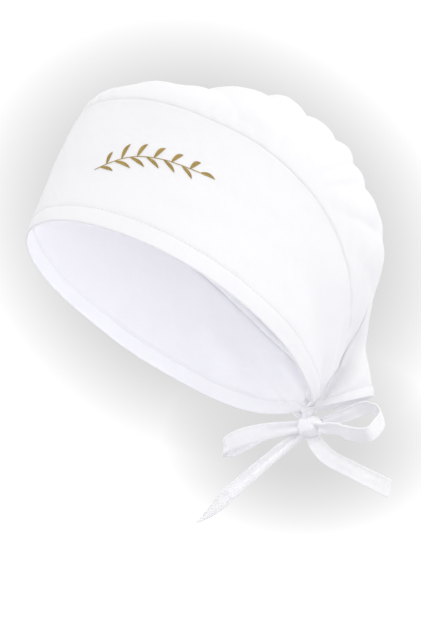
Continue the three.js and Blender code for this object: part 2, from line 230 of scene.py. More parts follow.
@dataclass(frozen=True)
class CapShape:
    """The cap's outer face as a function of turn and level, in millimetres."""

    head_length: float = 200.0
    head_breadth: float = 160.0
    edge_arch: float = 3.4
    worn_tilt: float = 29.7
    tie_turn: float = 150.0
    neck_half: float = 4.5
    pouch_half: float = 12.0
    pouch_lift: float = 37.0
    pouch_sag: float = 1.15
    pull_back: float = 6.0
    pull_up: float = 5.0
    pull_fade: float = 30.0
    neck_fade: float = 4.0
    behind_ease: float = 1.1
    bulge_ease: float = 0.75
    top_behind: float = -2.0
    top_up: float = 166.0
    walls: tuple[WallLevel, ...] = (
        WallLevel(0.0, 1.0, 0, 0, 0, 39.5),
        WallLevel(0.17, 0.97, 2.5, 2.5, 1, 33),
        WallLevel(0.38, 0.8, 6, 5.5, 2, 18),
        WallLevel(0.65, 0.35, 10, 8, 2, 13),
    )
    crowns: tuple[CrownLevel, ...] = (
        CrownLevel(12, 86, 9, 92, 5, 92),
        CrownLevel(8, 101, 5, 111, -4, 113),
        CrownLevel(-8, 110, -7, 127, -21, 130),
        CrownLevel(-34, 124, -27, 145, -43, 145),
        CrownLevel(-66, 150, -52, 160, -69, 157),
    )
    seam: tuple[tuple[float, float], ...] = (
        (0, 4.0),
        (30, 4.0),
        (60, 4.0),
        (88, 3.9),
        (112, 3.55),
        (130, 2.95),
        (141, 2.2),
        (147, 1.3),
        (150, 0.5),
    )
    puff_up: float = 60.0
    puff_spread: float = 95.0
    puff_run_in: float = 0.9
    puff_round: float = 0.8
    puffs: tuple[Puff, ...] = (
        Puff(134, 105, 5),
        Puff(105, 88, 4),
        Puff(88, 73, 2.8),
        Puff(73, 61, 3.4),
        Puff(61, 50, 2.5),
        Puff(50, 31, 3),
        Puff(31, 14, 2),
        Puff(14, -6, 1.2),
    )
    folds: tuple[Fold, ...] = (
        Fold(118, 0.9, 104, 2.4, 17, 2.2),
        Fold(146, 0.9, 131, 2.3, 6, 1.8),
        Fold(139, 0.3, 128, 1.2, 4, 1.0),
    )
    fold_ends: tuple[float, float] = (0.15, 0.85)
    degree: float = 1.7
    storey: float = 18.0
    climb_steps: int = 120
    climb_top: float = 5.9
    climb_below: float = 0.7

    @property
    def top_level(self) -> int:
        """The level of the cap's highest point."""
        return len(self.walls) + len(self.crowns)

    def reaches(self, row: WallLevel | CrownLevel) -> tuple[float, float, float, float]:
        """A row's distances from the middle of the opening: front, side, tie and back."""
        half, breadth = self.head_length / 2, self.head_breadth / 2
        return half + row.front, breadth + row.side, half + row.tie, half + row.back

    def pinched(self, turn: Array, row: WallLevel) -> tuple[Array, Array, Array]:
        """The figure that the cloth makes when the tie draws it in: a head and a pouch behind it.

        Args:
            turn: Turns in degrees.
            row: The section.

        Returns:
            How far left, back and up each point is.
        """
        front, side, tie, back = self.reaches(row)
        hand, swing = np.sign(wrapped(turn)), np.abs(wrapped(turn))
        angle = math.pi * np.minimum(swing / self.tie_turn, 1.0)
        reach = np.where(angle < math.pi / 2, front, tie)
        near_tie = 0.5 - 0.5 * np.cos(angle)
        neck, pull = self.neck_half * near_tie**self.neck_fade, near_tie**self.pull_fade
        share = np.clip((swing - self.tie_turn) / (180 - self.tie_turn), 0, 1)
        behind = np.sin(share * math.pi / 2) ** self.behind_ease
        bulge = np.maximum(np.sin(share * math.pi), 0) ** self.bulge_ease
        pouch = self.neck_half * (1 - share) ** 2 + self.pouch_half * bulge
        head = swing <= self.tie_turn
        head_back = self.pull_back * pull - reach * np.cos(angle)
        head_up = self.edge_arch * np.sin(angle) ** 2 + self.pull_up * pull
        pouch_back = mix(tie + self.pull_back, back, behind)
        pouch_up = mix(self.pull_up, self.pouch_lift, behind**self.pouch_sag)
        return (
            hand * np.where(head, side * np.sin(angle) + neck, pouch),
            np.where(head, head_back, pouch_back),
            np.where(head, head_up, pouch_up),
        )

    def opened(self, turn: Array, row: WallLevel | CrownLevel) -> tuple[Array, Array]:
        """The round figure that the cloth makes where nothing pinches it.

        Args:
            turn: Turns in degrees.
            row: The section.

        Returns:
            How far left and back each point is.
        """
        front, side, _, back = self.reaches(row)
        radians = np.radians(turn)
        return side * np.sin(radians), (back - front) / 2 - (back + front) / 2 * np.cos(radians)

    def height(self, turn: Array, row: CrownLevel) -> Array:
        """The height of a crown level, from its heights at the brow, the sides and the back.

        Args:
            turn: Turns in degrees.
            row: The crown's section.

        Returns:
            A height for each turn.
        """
        c = np.cos(np.radians(turn))
        tilt = (row.front_up - row.back_up) / 2
        dish = (row.front_up + row.back_up) / 2 - row.side_up
        return row.side_up + tilt * c + dish * c * c

    def section(self, turn: Array, index: int) -> Array:
        """Points of one of the tables' levels. The level past the top mirrors the one before it.

        Args:
            turn: Turns in degrees.
            index: The level, from one under the edge to one past the top.

        Returns:
            One point for each turn.
        """
        if index < 0:
            return 2 * self.section(turn, 0) - self.section(turn, 1)
        if index < len(self.walls):
            row = self.walls[index]
            px, py, pz = self.pinched(turn, row)
            ox, oy = self.opened(turn, row)
            seam = self.height(turn, self.crowns[0])
            return np.stack([mix(ox, px, row.pinch), mix(oy, py, row.pinch), mix(pz, seam, row.rise)], -1)
        if index == self.top_level:
            return np.broadcast_to([0.0, self.top_behind, self.top_up], (*turn.shape, 3)).copy()
        if index > self.top_level:
            return self.section(turn + 180, 2 * self.top_level - index)
        row = self.crowns[index - len(self.walls)]
        ox, oy = self.opened(turn, row)
        return np.stack([ox, oy, self.height(turn, row)], -1)

    def smooth(self, turn: Array, level: Array) -> Array:
        """The smooth surface through the levels, before puffs and folds.

        Args:
            turn: Turns in degrees.
            level: Levels.

        Returns:
            One point for each pair.
        """
        turn, level = np.broadcast_arrays(np.asarray(turn, float), np.asarray(level, float))
        sections = np.stack([self.section(turn, i) for i in range(-1, self.top_level + 2)])
        below = np.clip(np.floor(level), 0, self.top_level - 1).astype(int)
        picks = [np.take_along_axis(sections, (below + i)[None, ..., None], 0)[0] for i in range(4)]
        t = (level - below)[..., None]
        return cubic(picks[1], picks[2], (picks[2] - picks[0]) / 2, (picks[3] - picks[1]) / 2, t)

    def footing(self, turn: Array, level: Array) -> tuple[Array, Array]:
        """Points of the smooth surface and its outward directions there.

        Args:
            turn: Turns in degrees.
            level: Levels.

        Returns:
            The points and the directions, of length one.
        """
        step = 0.02
        high = np.minimum(level + step, self.top_level - step)
        rise = self.smooth(turn, high) - self.smooth(turn, np.maximum(level - step, 0))
        at = np.minimum(level, high)
        around = self.smooth(turn + 10 * step, at) - self.smooth(turn - 10 * step, at)
        return self.smooth(turn, level), unit(np.cross(around, rise))

    def seam_line(self, share: Array) -> Array:
        """Turn and level along the left half of the seam between band and crown."""
        return spline(np.array(self.seam, float), share)

    def seam_level(self, turn: Array) -> Array:
        """The level of the seam at a turn. Behind the tie it stays as low as it is there."""
        line = self.seam_line(np.linspace(0, len(self.seam) - 1, 300))
        return np.interp(np.minimum(np.abs(wrapped(turn)), self.tie_turn), line[:, 0], line[:, 1])

    def puff_height(self, places: Array, turn: Array, level: Array) -> Array:
        """How far the crown's puffs lift the cloth.

        Args:
            places: Points of the smooth surface.
            turn: Turns in degrees.
            level: Levels.

        Returns:
            A height for each point.
        """
        up, behind = places[..., 2] - self.puff_up, places[..., 1]
        angle = np.degrees(np.arctan2(up, behind))
        lift = np.zeros(angle.shape)
        for puff in self.puffs:
            across = (angle - puff.end) / (puff.start - puff.end)
            inside = (across > 0) & (across <= 1)
            crest = np.maximum(np.sin(math.pi * np.clip(across, 0, 1)), 0) ** self.puff_round
            lift += np.where(inside, puff.height * crest, 0.0)
        spread = np.minimum(np.hypot(up, behind) / self.puff_spread, 1.0)
        return lift * spread * eased((level - self.seam_level(turn)) / self.puff_run_in)

    def fold_depth(self, places: Array, turn: Array) -> Array:
        """How far the folds sink the cloth.

        Args:
            places: Points of the smooth surface.
            turn: Turns in degrees.

        Returns:
            A depth for each point.
        """
        depth = np.zeros(turn.shape)
        for fold in self.folds:
            for hand in (-1, 1):
                ends = self.smooth(
                    hand * np.array([fold.turn, fold.end_turn]),
                    np.array([fold.level, fold.end_level]),
                )
                run = ends[1] - ends[0]
                share = np.clip((places - ends[0]) @ run / (run @ run), 0, 1)
                away = np.linalg.norm(places - ends[0] - share[..., None] * run, axis=-1) / fold.reach
                trough = (1 - eased(away)) * np.sin(math.pi * mix(*self.fold_ends, share))
                depth += np.where(wrapped(turn) * hand > 0, fold.depth * trough, 0.0)
        return depth

    def levels_above(self, turn: Array, low: Array, heights: Array) -> Array:
        """Levels at given heights along the cloth above a low level.

        Args:
            turn: The turn of each column.
            low: The level that each column's heights are counted from.
            heights: Rows of heights in mm, one for each column, below zero for below.

        Returns:
            A level for each height.
        """
        base = np.maximum(low - self.climb_below, 0)
        climb = mix(base, self.climb_top, np.linspace(0, 1, self.climb_steps)[:, None])
        lengths = arc_lengths(self.smooth(turn, climb))
        levels = np.empty(heights.shape)
        for i in range(len(turn)):
            start = np.interp(low[i], climb[:, i], lengths[:, i])
            levels[:, i] = np.interp(heights[:, i] + start, lengths[:, i], climb[:, i])
        return levels

    def worn(self, places: Array) -> Array:
        """Points of the cap's own frame turned into the part's frame, still in millimetres.

        Args:
            places: Points or directions of the cap's own frame.

        Returns:
            The same in the part's frame.
        """
        c, s = math.cos(math.radians(self.worn_tilt)), math.sin(math.radians(self.worn_tilt))
        x, y, z = places[..., 0], places[..., 1], places[..., 2]
        return np.stack([x, y * c + z * s, z * c - y * s], -1)


@dataclass(frozen=True)
class ClothRelief:
    """The cloth's small forms, which lie on the cap's main shape: crumples, gathers and pulls at the tie."""

    broad: float = 0.45
    broad_length: float = 62.0
    fine: float = 0.14
    fine_length: float = 19.0
    wrinkle: float = 0.5
    wrinkle_length: float = 25.0
    wrinkle_run_in: float = 25.0
    wrinkle_stretch: float = 0.35
    gather: float = 0.55
    gather_length: float = 11.5
    gather_reach: float = 15.0
    gather_run_in: float = 2.5
    gather_drifts: tuple[tuple[float, float], ...] = ((1.4, 9.1), (0.9, 23.0))
    gather_patch: float = 17.0
    pull: float = 1.1
    pull_peak: float = 24.0
    pulls: float = 8.0
    pull_level: float = 0.3
    valley: float = 4.0
    valley_floor: float = 0.3
    valley_edge: tuple[tuple[float, float], ...] = (
        (0.0, 157.0),
        (0.5, 159.0),
        (1.05, 161.5),
        (1.4, 164.5),
        (1.7, 168.0),
    )
    valley_top: float = 2.25
    valley_tilt: float = 0.03
    valley_fade: float = 0.5
    valley_low: float = 0.45

    def lift(self, shape: CapShape, places: Array, turn: Array, level: Array) -> Array:
        """How far the small forms lift the cloth off the smooth surface.

        Args:
            shape: The cap's main shape.
            places: Points of the smooth surface.
            turn: Turns in degrees.
            level: Levels.

        Returns:
            A height for each point.
        """
        seam = shape.seam_level(turn)
        above = (level - seam) * shape.storey
        crown = eased(above / self.wrinkle_run_in)
        lift = self.broad * soft_noise(places, self.broad_length, 3)
        lift = lift + self.fine * soft_noise(places, self.fine_length, 4)
        stretched = places * [self.wrinkle_stretch, 1, 1]
        lift += self.wrinkle * crown * soft_noise(stretched, self.wrinkle_length, 5)
        lift += self.gathers(shape, turn, above) + self.pulls_at_tie(shape, turn, level)
        return lift - self.valley_beside_seam(shape, turn, level)

    def gathers(self, shape: CapShape, turn: Array, above: Array) -> Array:
        """The crown's cloth is a little longer than the band's, so it stands up in short gathers.

        Args:
            shape: The cap's main shape.
            turn: Turns in degrees.
            above: How far above the seam each point is.

        Returns:
            A height for each point.
        """
        along = turn * shape.degree
        phase = TAU * along / self.gather_length
        for size, length in self.gather_drifts:
            phase = phase + size * np.sin(along / length)
        wave = np.sin(phase)
        uneven = 0.6 + 0.4 * np.sin(along / self.gather_patch + 1.0)
        fades = np.exp(-np.maximum(above, 0) / self.gather_reach) * eased(above / self.gather_run_in)
        sides = eased((shape.tie_turn - np.abs(wrapped(turn))) / 15)
        return self.gather * wave * uneven * fades * sides

    def pulls_at_tie(self, shape: CapShape, turn: Array, level: Array) -> Array:
        """Small pleats that run together where the tie draws the cloth in.

        Args:
            shape: The cap's main shape.
            turn: Turns in degrees.
            level: Levels.

        Returns:
            A height for each point.
        """
        across = (shape.tie_turn - np.abs(wrapped(turn))) * shape.degree
        up = (level - self.pull_level) * shape.storey
        away, bearing = np.hypot(across, up), np.arctan2(up, across)
        size = self.pull * away / self.pull_peak * np.exp(1 - away / self.pull_peak)
        wave = np.sin(self.pulls * bearing + 0.8 * np.sin(4 * bearing) + 0.9 * np.sign(wrapped(turn)))
        return size * wave * mix(0.12, 1.0, eased(level / 0.7))

    def valley_beside_seam(self, shape: CapShape, turn: Array, level: Array) -> Array:
        """The deep fold in the pouch's cloth, which lies along the seam above the tie and widens upward.

        Args:
            shape: The cap's main shape.
            turn: Turns in degrees.
            level: Levels.

        Returns:
            A depth for each point.
        """
        swing = np.abs(wrapped(turn))
        line = shape.seam_line(np.linspace(len(shape.seam) - 1, 4, 200))
        start = np.interp(level, line[:, 1], line[:, 0])
        heights, turns = np.array(self.valley_edge).T
        share = (swing - start) / (np.interp(level, heights, turns) - start)
        trough = np.minimum(eased(share / self.valley_floor), (1 - share) / (1 - self.valley_floor))
        top = self.valley_top - self.valley_tilt * (swing - shape.tie_turn)
        deep = self.valley * np.clip(trough, 0, 1) * eased((top - level) / self.valley_fade)
        return deep * mix(self.valley_low, 1.0, eased(level))


@dataclass(frozen=True)
class DressedCap:
    """The cap's shape with its cloth relief, which the band, the crown and the stitches share."""

    shape: CapShape = CapShape()
    relief: ClothRelief = ClothRelief()

    def face(self, turn: Array, level: Array) -> tuple[Array, Array]:
        """Points of the cloth's outer face and its outward directions.

        Args:
            turn: Turns in degrees.
            level: Levels.

        Returns:
            The points and the directions.
        """
        turn, level = np.broadcast_arrays(np.asarray(turn, float), np.asarray(level, float))
        base, outward = self.shape.footing(turn, level)
        lift = self.shape.puff_height(base, turn, level) - self.shape.fold_depth(base, turn)
        lift = lift + self.relief.lift(self.shape, base, turn, level)
        return base + outward * lift[..., None], outward

    def seam_columns(self, counts: Sequence[int]) -> Array:
        """Turn and level of columns along the left half of the seam, from the brow to the tie."""
        shares = [row + np.arange(count) / count for row, count in enumerate(counts)]
        return self.shape.seam_line(np.append(np.concatenate(shares), len(counts)))


class Field:
    """A shader socket that can be used in Python expressions."""

    def __init__(self, tree: bpy.types.NodeTree, socket: bpy.types.NodeSocket) -> None:
        """Wraps a socket of a node tree."""
        self.tree = tree
        self.socket = socket

    def _maths(self, operation: str, *values: Any) -> "Field":
        """Adds a Math node on the given values."""
        return add_node(self.tree, "ShaderNodeMath", {"operation": operation}, values)

    def __add__(self, other: Any) -> "Field":
        """Sum."""
        return self._maths("ADD", self, other)

    __radd__ = __add__

    def __sub__(self, other: Any) -> "Field":
        """Difference."""
        return self._maths("SUBTRACT", self, other)

    def __rsub__(self, other: Any) -> "Field":
        """Difference, the other way round."""
        return self._maths("SUBTRACT", other, self)

    def __mul__(self, other: Any) -> "Field":
        """Product."""
        return self._maths("MULTIPLY", self, other)

    __rmul__ = __mul__

    def sine(self) -> "Field":
        """The sine of an angle in radians."""
        return self._maths("SINE", self)

    def within(self, low: float, high: float) -> "Field":
        """0 at low, 1 at high and even in between."""
        return add_node(self.tree, "ShaderNodeMapRange", {"clamp": True}, (self, low, high, 0.0, 1.0))


def add_node(
    tree: bpy.types.NodeTree,
    kind: str,
    settings: dict[str, Any] | None = None,
    values: Sequence[Any] | dict[str, Any] = (),
    output: int | str = 0,
) -> Field:
    """Adds a node to a tree.

    Args:
        tree: Where the node goes.
        kind: The node's type.
        settings: The node's own settings, set before its sockets.
        values: Numbers, tuples or fields for its sockets, in order or by name.
        output: Which of its outputs is used.

    Returns:
        The chosen output.
    """
    node = tree.nodes.new(kind)
    for key, value in (settings or {}).items():
        setattr(node, key, value)
    pairs = values.items() if isinstance(values, dict) else enumerate(values)
    for key, value in pairs:
        if isinstance(value, Field):
            tree.links.new(value.socket, node.inputs[key])
        else:
            node.inputs[key].default_value = value
    return Field(tree, node.outputs[output])


class Shader:
    """A material's node tree while it is being built."""

    def __init__(self, name: str) -> None:
        """Starts a material with one Principled shader.

        Args:
            name: The material's name.
        """
        self.material = bpy.data.materials.new(name)
        self.material.use_nodes = True
        self.tree = self.material.node_tree
        self.principled = self.tree.nodes["Principled BSDF"]

    def node(
        self, kind: str, settings: dict[str, Any] | None = None, values: Any = (), output: Any = 0
    ) -> Field:
        """Adds a node to this material."""
        return add_node(self.tree, kind, settings, values, output)

    def noise(self, vector: Field, scale: float, detail: float = 2.0) -> Field:
        """A noise of height 0 to 1."""
        return self.node("ShaderNodeTexNoise", {}, {"Vector": vector, "Scale": scale, "Detail": detail})

    def stretched(self, vector: Field, scale: tuple[float, float, float]) -> Field:
        """A vector with each of its coordinates scaled."""
        return self.node("ShaderNodeMapping", {}, {"Vector": vector, "Scale": scale})

    def blend(self, share: Field, first: Sequence[float], second: Sequence[float]) -> Field:
        """A colour between two colours.

        Args:
            share: 0 for the first colour and 1 for the second.
            first: A colour.
            second: Another colour.

        Returns:
            The colour.
        """
        node = self.tree.nodes.new("ShaderNodeMix")
        node.data_type = "RGBA"
        self.tree.links.new(share.socket, node.inputs["Factor"])
        colours = [socket for socket in node.inputs if socket.type == "RGBA"]
        colours[0].default_value = (*first, 1.0)
        colours[1].default_value = (*second, 1.0)
        return Field(self.tree, next(socket for socket in node.outputs if socket.type == "RGBA"))

    def bump(self, height: Field, distance: float, normal: Field | None = None) -> Field:
        """A bumped normal from a height, its distance in metres.

        Args:
            height: The height, 0 to 1.
            distance: How high 1 is.
            normal: A normal to start from.

        Returns:
            The normal.
        """
        values: dict[str, Any] = {"Distance": distance, "Height": height}
        if normal is not None:
            values["Normal"] = normal
        return self.node("ShaderNodeBump", {}, values)

    def set(self, name: str, value: Any) -> None:
        """Sets or links one of the shader's sockets.

        Args:
            name: The socket.
            value: A number, a colour or a field.
        """
        socket = self.principled.inputs[name]
        if isinstance(value, Field):
            self.tree.links.new(value.socket, socket)
        else:
            socket.default_value = value


@dataclass(frozen=True)
class Cotton:
    """White plain-woven cotton: threads over and under, thicker yarns here and there, and small crumples."""

    slot: str
    colour: tuple[float, float, float] = (0.95, 0.945, 0.97)
    shade: tuple[float, float, float] = (0.925, 0.92, 0.95)
    thread: float = 0.28
    weave_depth: float = 0.00004
    crumple_depth: float = 0.0005
    crumple_length: float = 7.0
    yarn: tuple[float, float] = (1.6, 0.05)
    cloud_scale: float = 18.0
    roughness: float = 0.8
    sheen: float = 0.12
    sheen_roughness: float = 0.55
    scatter: float = 0.5
    scatter_depth: float = 0.0015

    @cache
    def material(self) -> bpy.types.Material:
        """The finish, made once.

        Returns:
            The material.
        """
        shader = Shader(f"{self.slot}_finish")
        cloth = shader.node("ShaderNodeUVMap", {"uv_map": "cloth"})
        place = shader.node("ShaderNodeTexCoord", output="Object")
        across = shader.node("ShaderNodeSeparateXYZ", values=(cloth,), output="X")
        along = shader.node("ShaderNodeSeparateXYZ", values=(cloth,), output="Y")
        over = (across * (math.pi / self.thread)).sine() * (along * (math.pi / self.thread)).sine()
        warp = shader.noise(shader.stretched(cloth, (*self.yarn, 1)), 1.0)
        weft = shader.noise(shader.stretched(cloth, (*self.yarn[::-1], 1)), 1.0)
        yarns = warp.within(0.3, 0.7) * 0.5 + weft.within(0.3, 0.7) * 0.5
        crumple = shader.noise(place, 1000 / self.crumple_length, 3.0)
        cloudy = shader.noise(place, self.cloud_scale).within(0.3, 0.7)
        tone = (yarns * 0.6 + cloudy * 0.4) * 0.8 + over * 0.1 + 0.1
        shader.set("Base Color", shader.blend(tone, self.shade, self.colour))
        shader.set("Roughness", cloudy * 0.06 + yarns * 0.06 + self.roughness)
        shader.set("Specular IOR Level", 0.25)
        shader.set("Sheen Weight", self.sheen)
        shader.set("Sheen Roughness", self.sheen_roughness)
        shader.set("Subsurface Weight", self.scatter)
        shader.set("Subsurface Radius", (1.0, 1.0, 1.05))
        shader.set("Subsurface Scale", self.scatter_depth)
        soft = shader.bump(crumple, self.crumple_depth)
        shader.set("Normal", shader.bump(over * 0.6 + yarns * 1.4, self.weave_depth, soft))
        return shader.material


@dataclass(frozen=True)
class Thread:
    """A sewing or embroidery thread, of twisted strands."""

    slot: str
    colour: tuple[float, float, float]
    shade: tuple[float, float, float]
    roughness: float
    shine: float
    sheen: float

    @cache
    def material(self) -> bpy.types.Material:
        """The finish, made once.

        Returns:
            The material.
        """
        shader = Shader(f"{self.slot}_finish")
        place = shader.node("ShaderNodeTexCoord", output="Object")
        strands = shader.noise(place, 5200.0, 1.0).within(0.35, 0.65)
        patches = shader.noise(place, 160.0).within(0.3, 0.7)
        # Darker strands and patches at random. For the gold thread the darker colour is also painted shade
        # between the strands.
        shader.set("Base Color", shader.blend(strands * 0.5 + patches * 0.5, self.shade, self.colour))
        shader.set("Roughness", patches * 0.1 + self.roughness)
        shader.set("Specular IOR Level", self.shine)
        shader.set("Sheen Weight", self.sheen)
        shader.set("Normal", shader.bump(strands, 0.00003))
        return shader.material


class Finish(Enum):
    """The part's finishes."""

    BAND = Cotton("band_cotton")
    CROWN = Cotton("crown_cotton")
    TIE = Cotton("tie_cotton", crumple_depth=0.0003, crumple_length=5.0)
    SEWING = Thread("sewing_thread", (0.86, 0.85, 0.89), (0.80, 0.79, 0.83), 0.6, 0.4, 0.1)
    # The gold's darker colour is partly painted shade: besides the thread's own uneven tone, it darkens the
    # strands for the shade between them.
    GOLD = Thread("gold_thread", (0.56, 0.41, 0.12), (0.36, 0.24, 0.05), 0.36, 0.6, 0.0)


def dress(piece: bpy.types.Object, finish: Finish, nodes: Sequence[str] = ()) -> bpy.types.Object:
    """Gives a piece its finish and the body that it rides on, and hides the solids that it stands for.

    Args:
        piece: The new piece.
        finish: What it is made of.
        nodes: The solids that it replaces.

    Returns:
        The piece.
    """
    piece.data.materials.append(finish.value.material())
    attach(piece, ROOT)
    if nodes:
        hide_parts(*nodes)
    log.info("%s: %d faces", piece.name, len(piece.data.polygons))
    return piece


def add_piece(
    name: str, points: Array, faces: list[list[int]], marks: Array | None = None
) -> bpy.types.Object:
    """Makes a smoothly shaded piece at the origin.

    Args:
        name: The piece's name.
        points: Its points in millimetres, in the part's frame.
        faces: Its faces, as lists of point numbers.
        marks: For each corner of each face its place on the flat cloth, in millimetres.

    Returns:
        The new object.
    """
    mesh = bpy.data.meshes.new(name)
    mesh.from_pydata((points.reshape(-1, 3) * MM).tolist(), [], faces)
    if marks is not None:
        mesh.uv_layers.new(name="cloth").data.foreach_set("uv", np.asarray(marks, np.float32).ravel())
    piece = bpy.data.objects.new(name, mesh)
    bpy.context.scene.collection.objects.link(piece)
    bpy.ops.object.select_all(action="DESELECT")
    piece.select_set(True)
    bpy.context.view_layer.objects.active = piece
    bpy.ops.object.shade_smooth_by_angle(angle=math.radians(SMOOTH_ANGLE))
    piece.select_set(False)
    return piece


def in_order(points: Array, faces: list[list[int]]) -> tuple[Array, list[list[int]]]:
    """The same ball in a fixed order, because Blender's own order changes from run to run.

    Args:
        points: The ball's points.
        faces: Its faces.

    Returns:
        The points from the lowest up, and the faces by their point numbers.
    """
    order = np.lexsort(np.round(points, 5).T)
    number = np.argsort(order)
    loops = []
    for face in faces:
        loop = number[face].tolist()
        start = loop.index(min(loop))
        loops.append(loop[start:] + loop[:start])
    return points[order], sorted(loops)


def unit_ball(segments: int, rings: int) -> tuple[Array, list[list[int]]]:
    """Points and faces of a ball of radius one, which the stitches and the knot are shaped from.

    Args:
        segments: How many faces it has round its axis.
        rings: How many it has from pole to pole.

    Returns:
        Its points and its faces.
    """
    bpy.ops.object.select_all(action="DESELECT")
    bpy.ops.mesh.primitive_uv_sphere_add(segments=segments, ring_count=rings, radius=1.0)
    sample = bpy.context.active_object
    points = np.array([point.co for point in sample.data.vertices])
    faces = [list(face.vertices) for face in sample.data.polygons]
    bpy.data.meshes.remove(sample.data)
    return in_order(points, faces)


def rim(outer: Array, inner: Array, outward: Array, angles: Sequence[float]) -> Array:
    """Rows of a rounded edge between two faces.

    Args:
        outer: The outer face's edge.
        inner: The inner face's edge.
        outward: The direction in which the edge faces.
        angles: Where the rows lie, in degrees from the outer face to the inner.

    Returns:
        The rows.
    """
    middle, half = (outer + inner) / 2, (outer - inner) / 2
    radius = np.linalg.norm(half, axis=-1, keepdims=True)
    turns = np.radians(angles)[:, None, None]
    return middle + half * np.cos(turns) + outward * radius * np.sin(turns)


@dataclass
class Shell:
    """A wall of cloth as a grid: rows run round its profile, columns along it."""

    rows: Array
    marks: Array
    closed_profile: bool
    poles: tuple[Array, Array] | None = None

    def sides(self) -> tuple[list[list[int]], list[Array]]:
        """The grid's four-sided faces and their places on the flat cloth.

        Returns:
            The faces as lists of point numbers, and the places of their corners.
        """
        count, columns = self.rows.shape[:2]
        r, c = np.meshgrid(
            np.arange(count if self.closed_profile else count - 1),
            np.arange(columns - 1 if self.closed_profile else columns),
            indexing="ij",
        )
        corners = [(r + dr, c + dc) for dr, dc in ((0, 0), (0, 1), (1, 1), (1, 0))]
        number = np.stack([(i % count) * columns + j % columns for i, j in corners], -1).reshape(-1, 4)
        marks = np.stack([self.marks[i, j] for i, j in corners], -2)
        return number.tolist(), [marks.reshape(-1, 2)]

    def fans(self, faces: list[list[int]], places: list[Array]) -> None:
        """Closes a crown's two faces at the top.

        Args:
            faces: The list that the faces are added to.
            places: The list that their corners' places are added to.
        """
        count, columns = self.rows.shape[:2]
        for pole, row in ((0, 0), (1, count - 1)):
            for i in range(columns):
                edge = [row * columns + i, row * columns + (i + 1) % columns]
                ends = [self.marks[row, i], self.marks[row, i + 1]]
                if pole == 0:
                    edge.reverse()
                    ends.reverse()
                faces.append([*edge, count * columns + pole])
                places.append(np.array([*ends, [0.0, 0.0]]))

    def ends(self, faces: list[list[int]], places: list[Array]) -> None:
        """Closes a strip's two ends.

        Args:
            faces: The list that the faces are added to.
            places: The list that their corners' places are added to.
        """
        count, columns = self.rows.shape[:2]
        for column in (0, columns - 1):
            for i in range(count // 2 - 1):
                ring = [i, i + 1, count - 2 - i, count - 1 - i]
                if column:
                    ring.reverse()
                faces.append([k * columns + column for k in ring])
                places.append(np.array([self.marks[k, column] for k in ring]))

    def build(self, name: str) -> bpy.types.Object:
        """Makes the closed piece.

        Args:
            name: The piece's name.

        Returns:
            The new piece.
        """
        faces, places = self.sides()
        points = self.rows.reshape(-1, 3)
        if self.poles is not None:
            points = np.vstack([points, *self.poles])
            self.fans(faces, places)
        else:
            self.ends(faces, places)
        return add_piece(name, points, faces, np.vstack(places))


LOWER_OUTER, LOWER_INNER = (72, 36), (144, 108)
UPPER = (36, 72, 108, 144)
TALL = 40.0


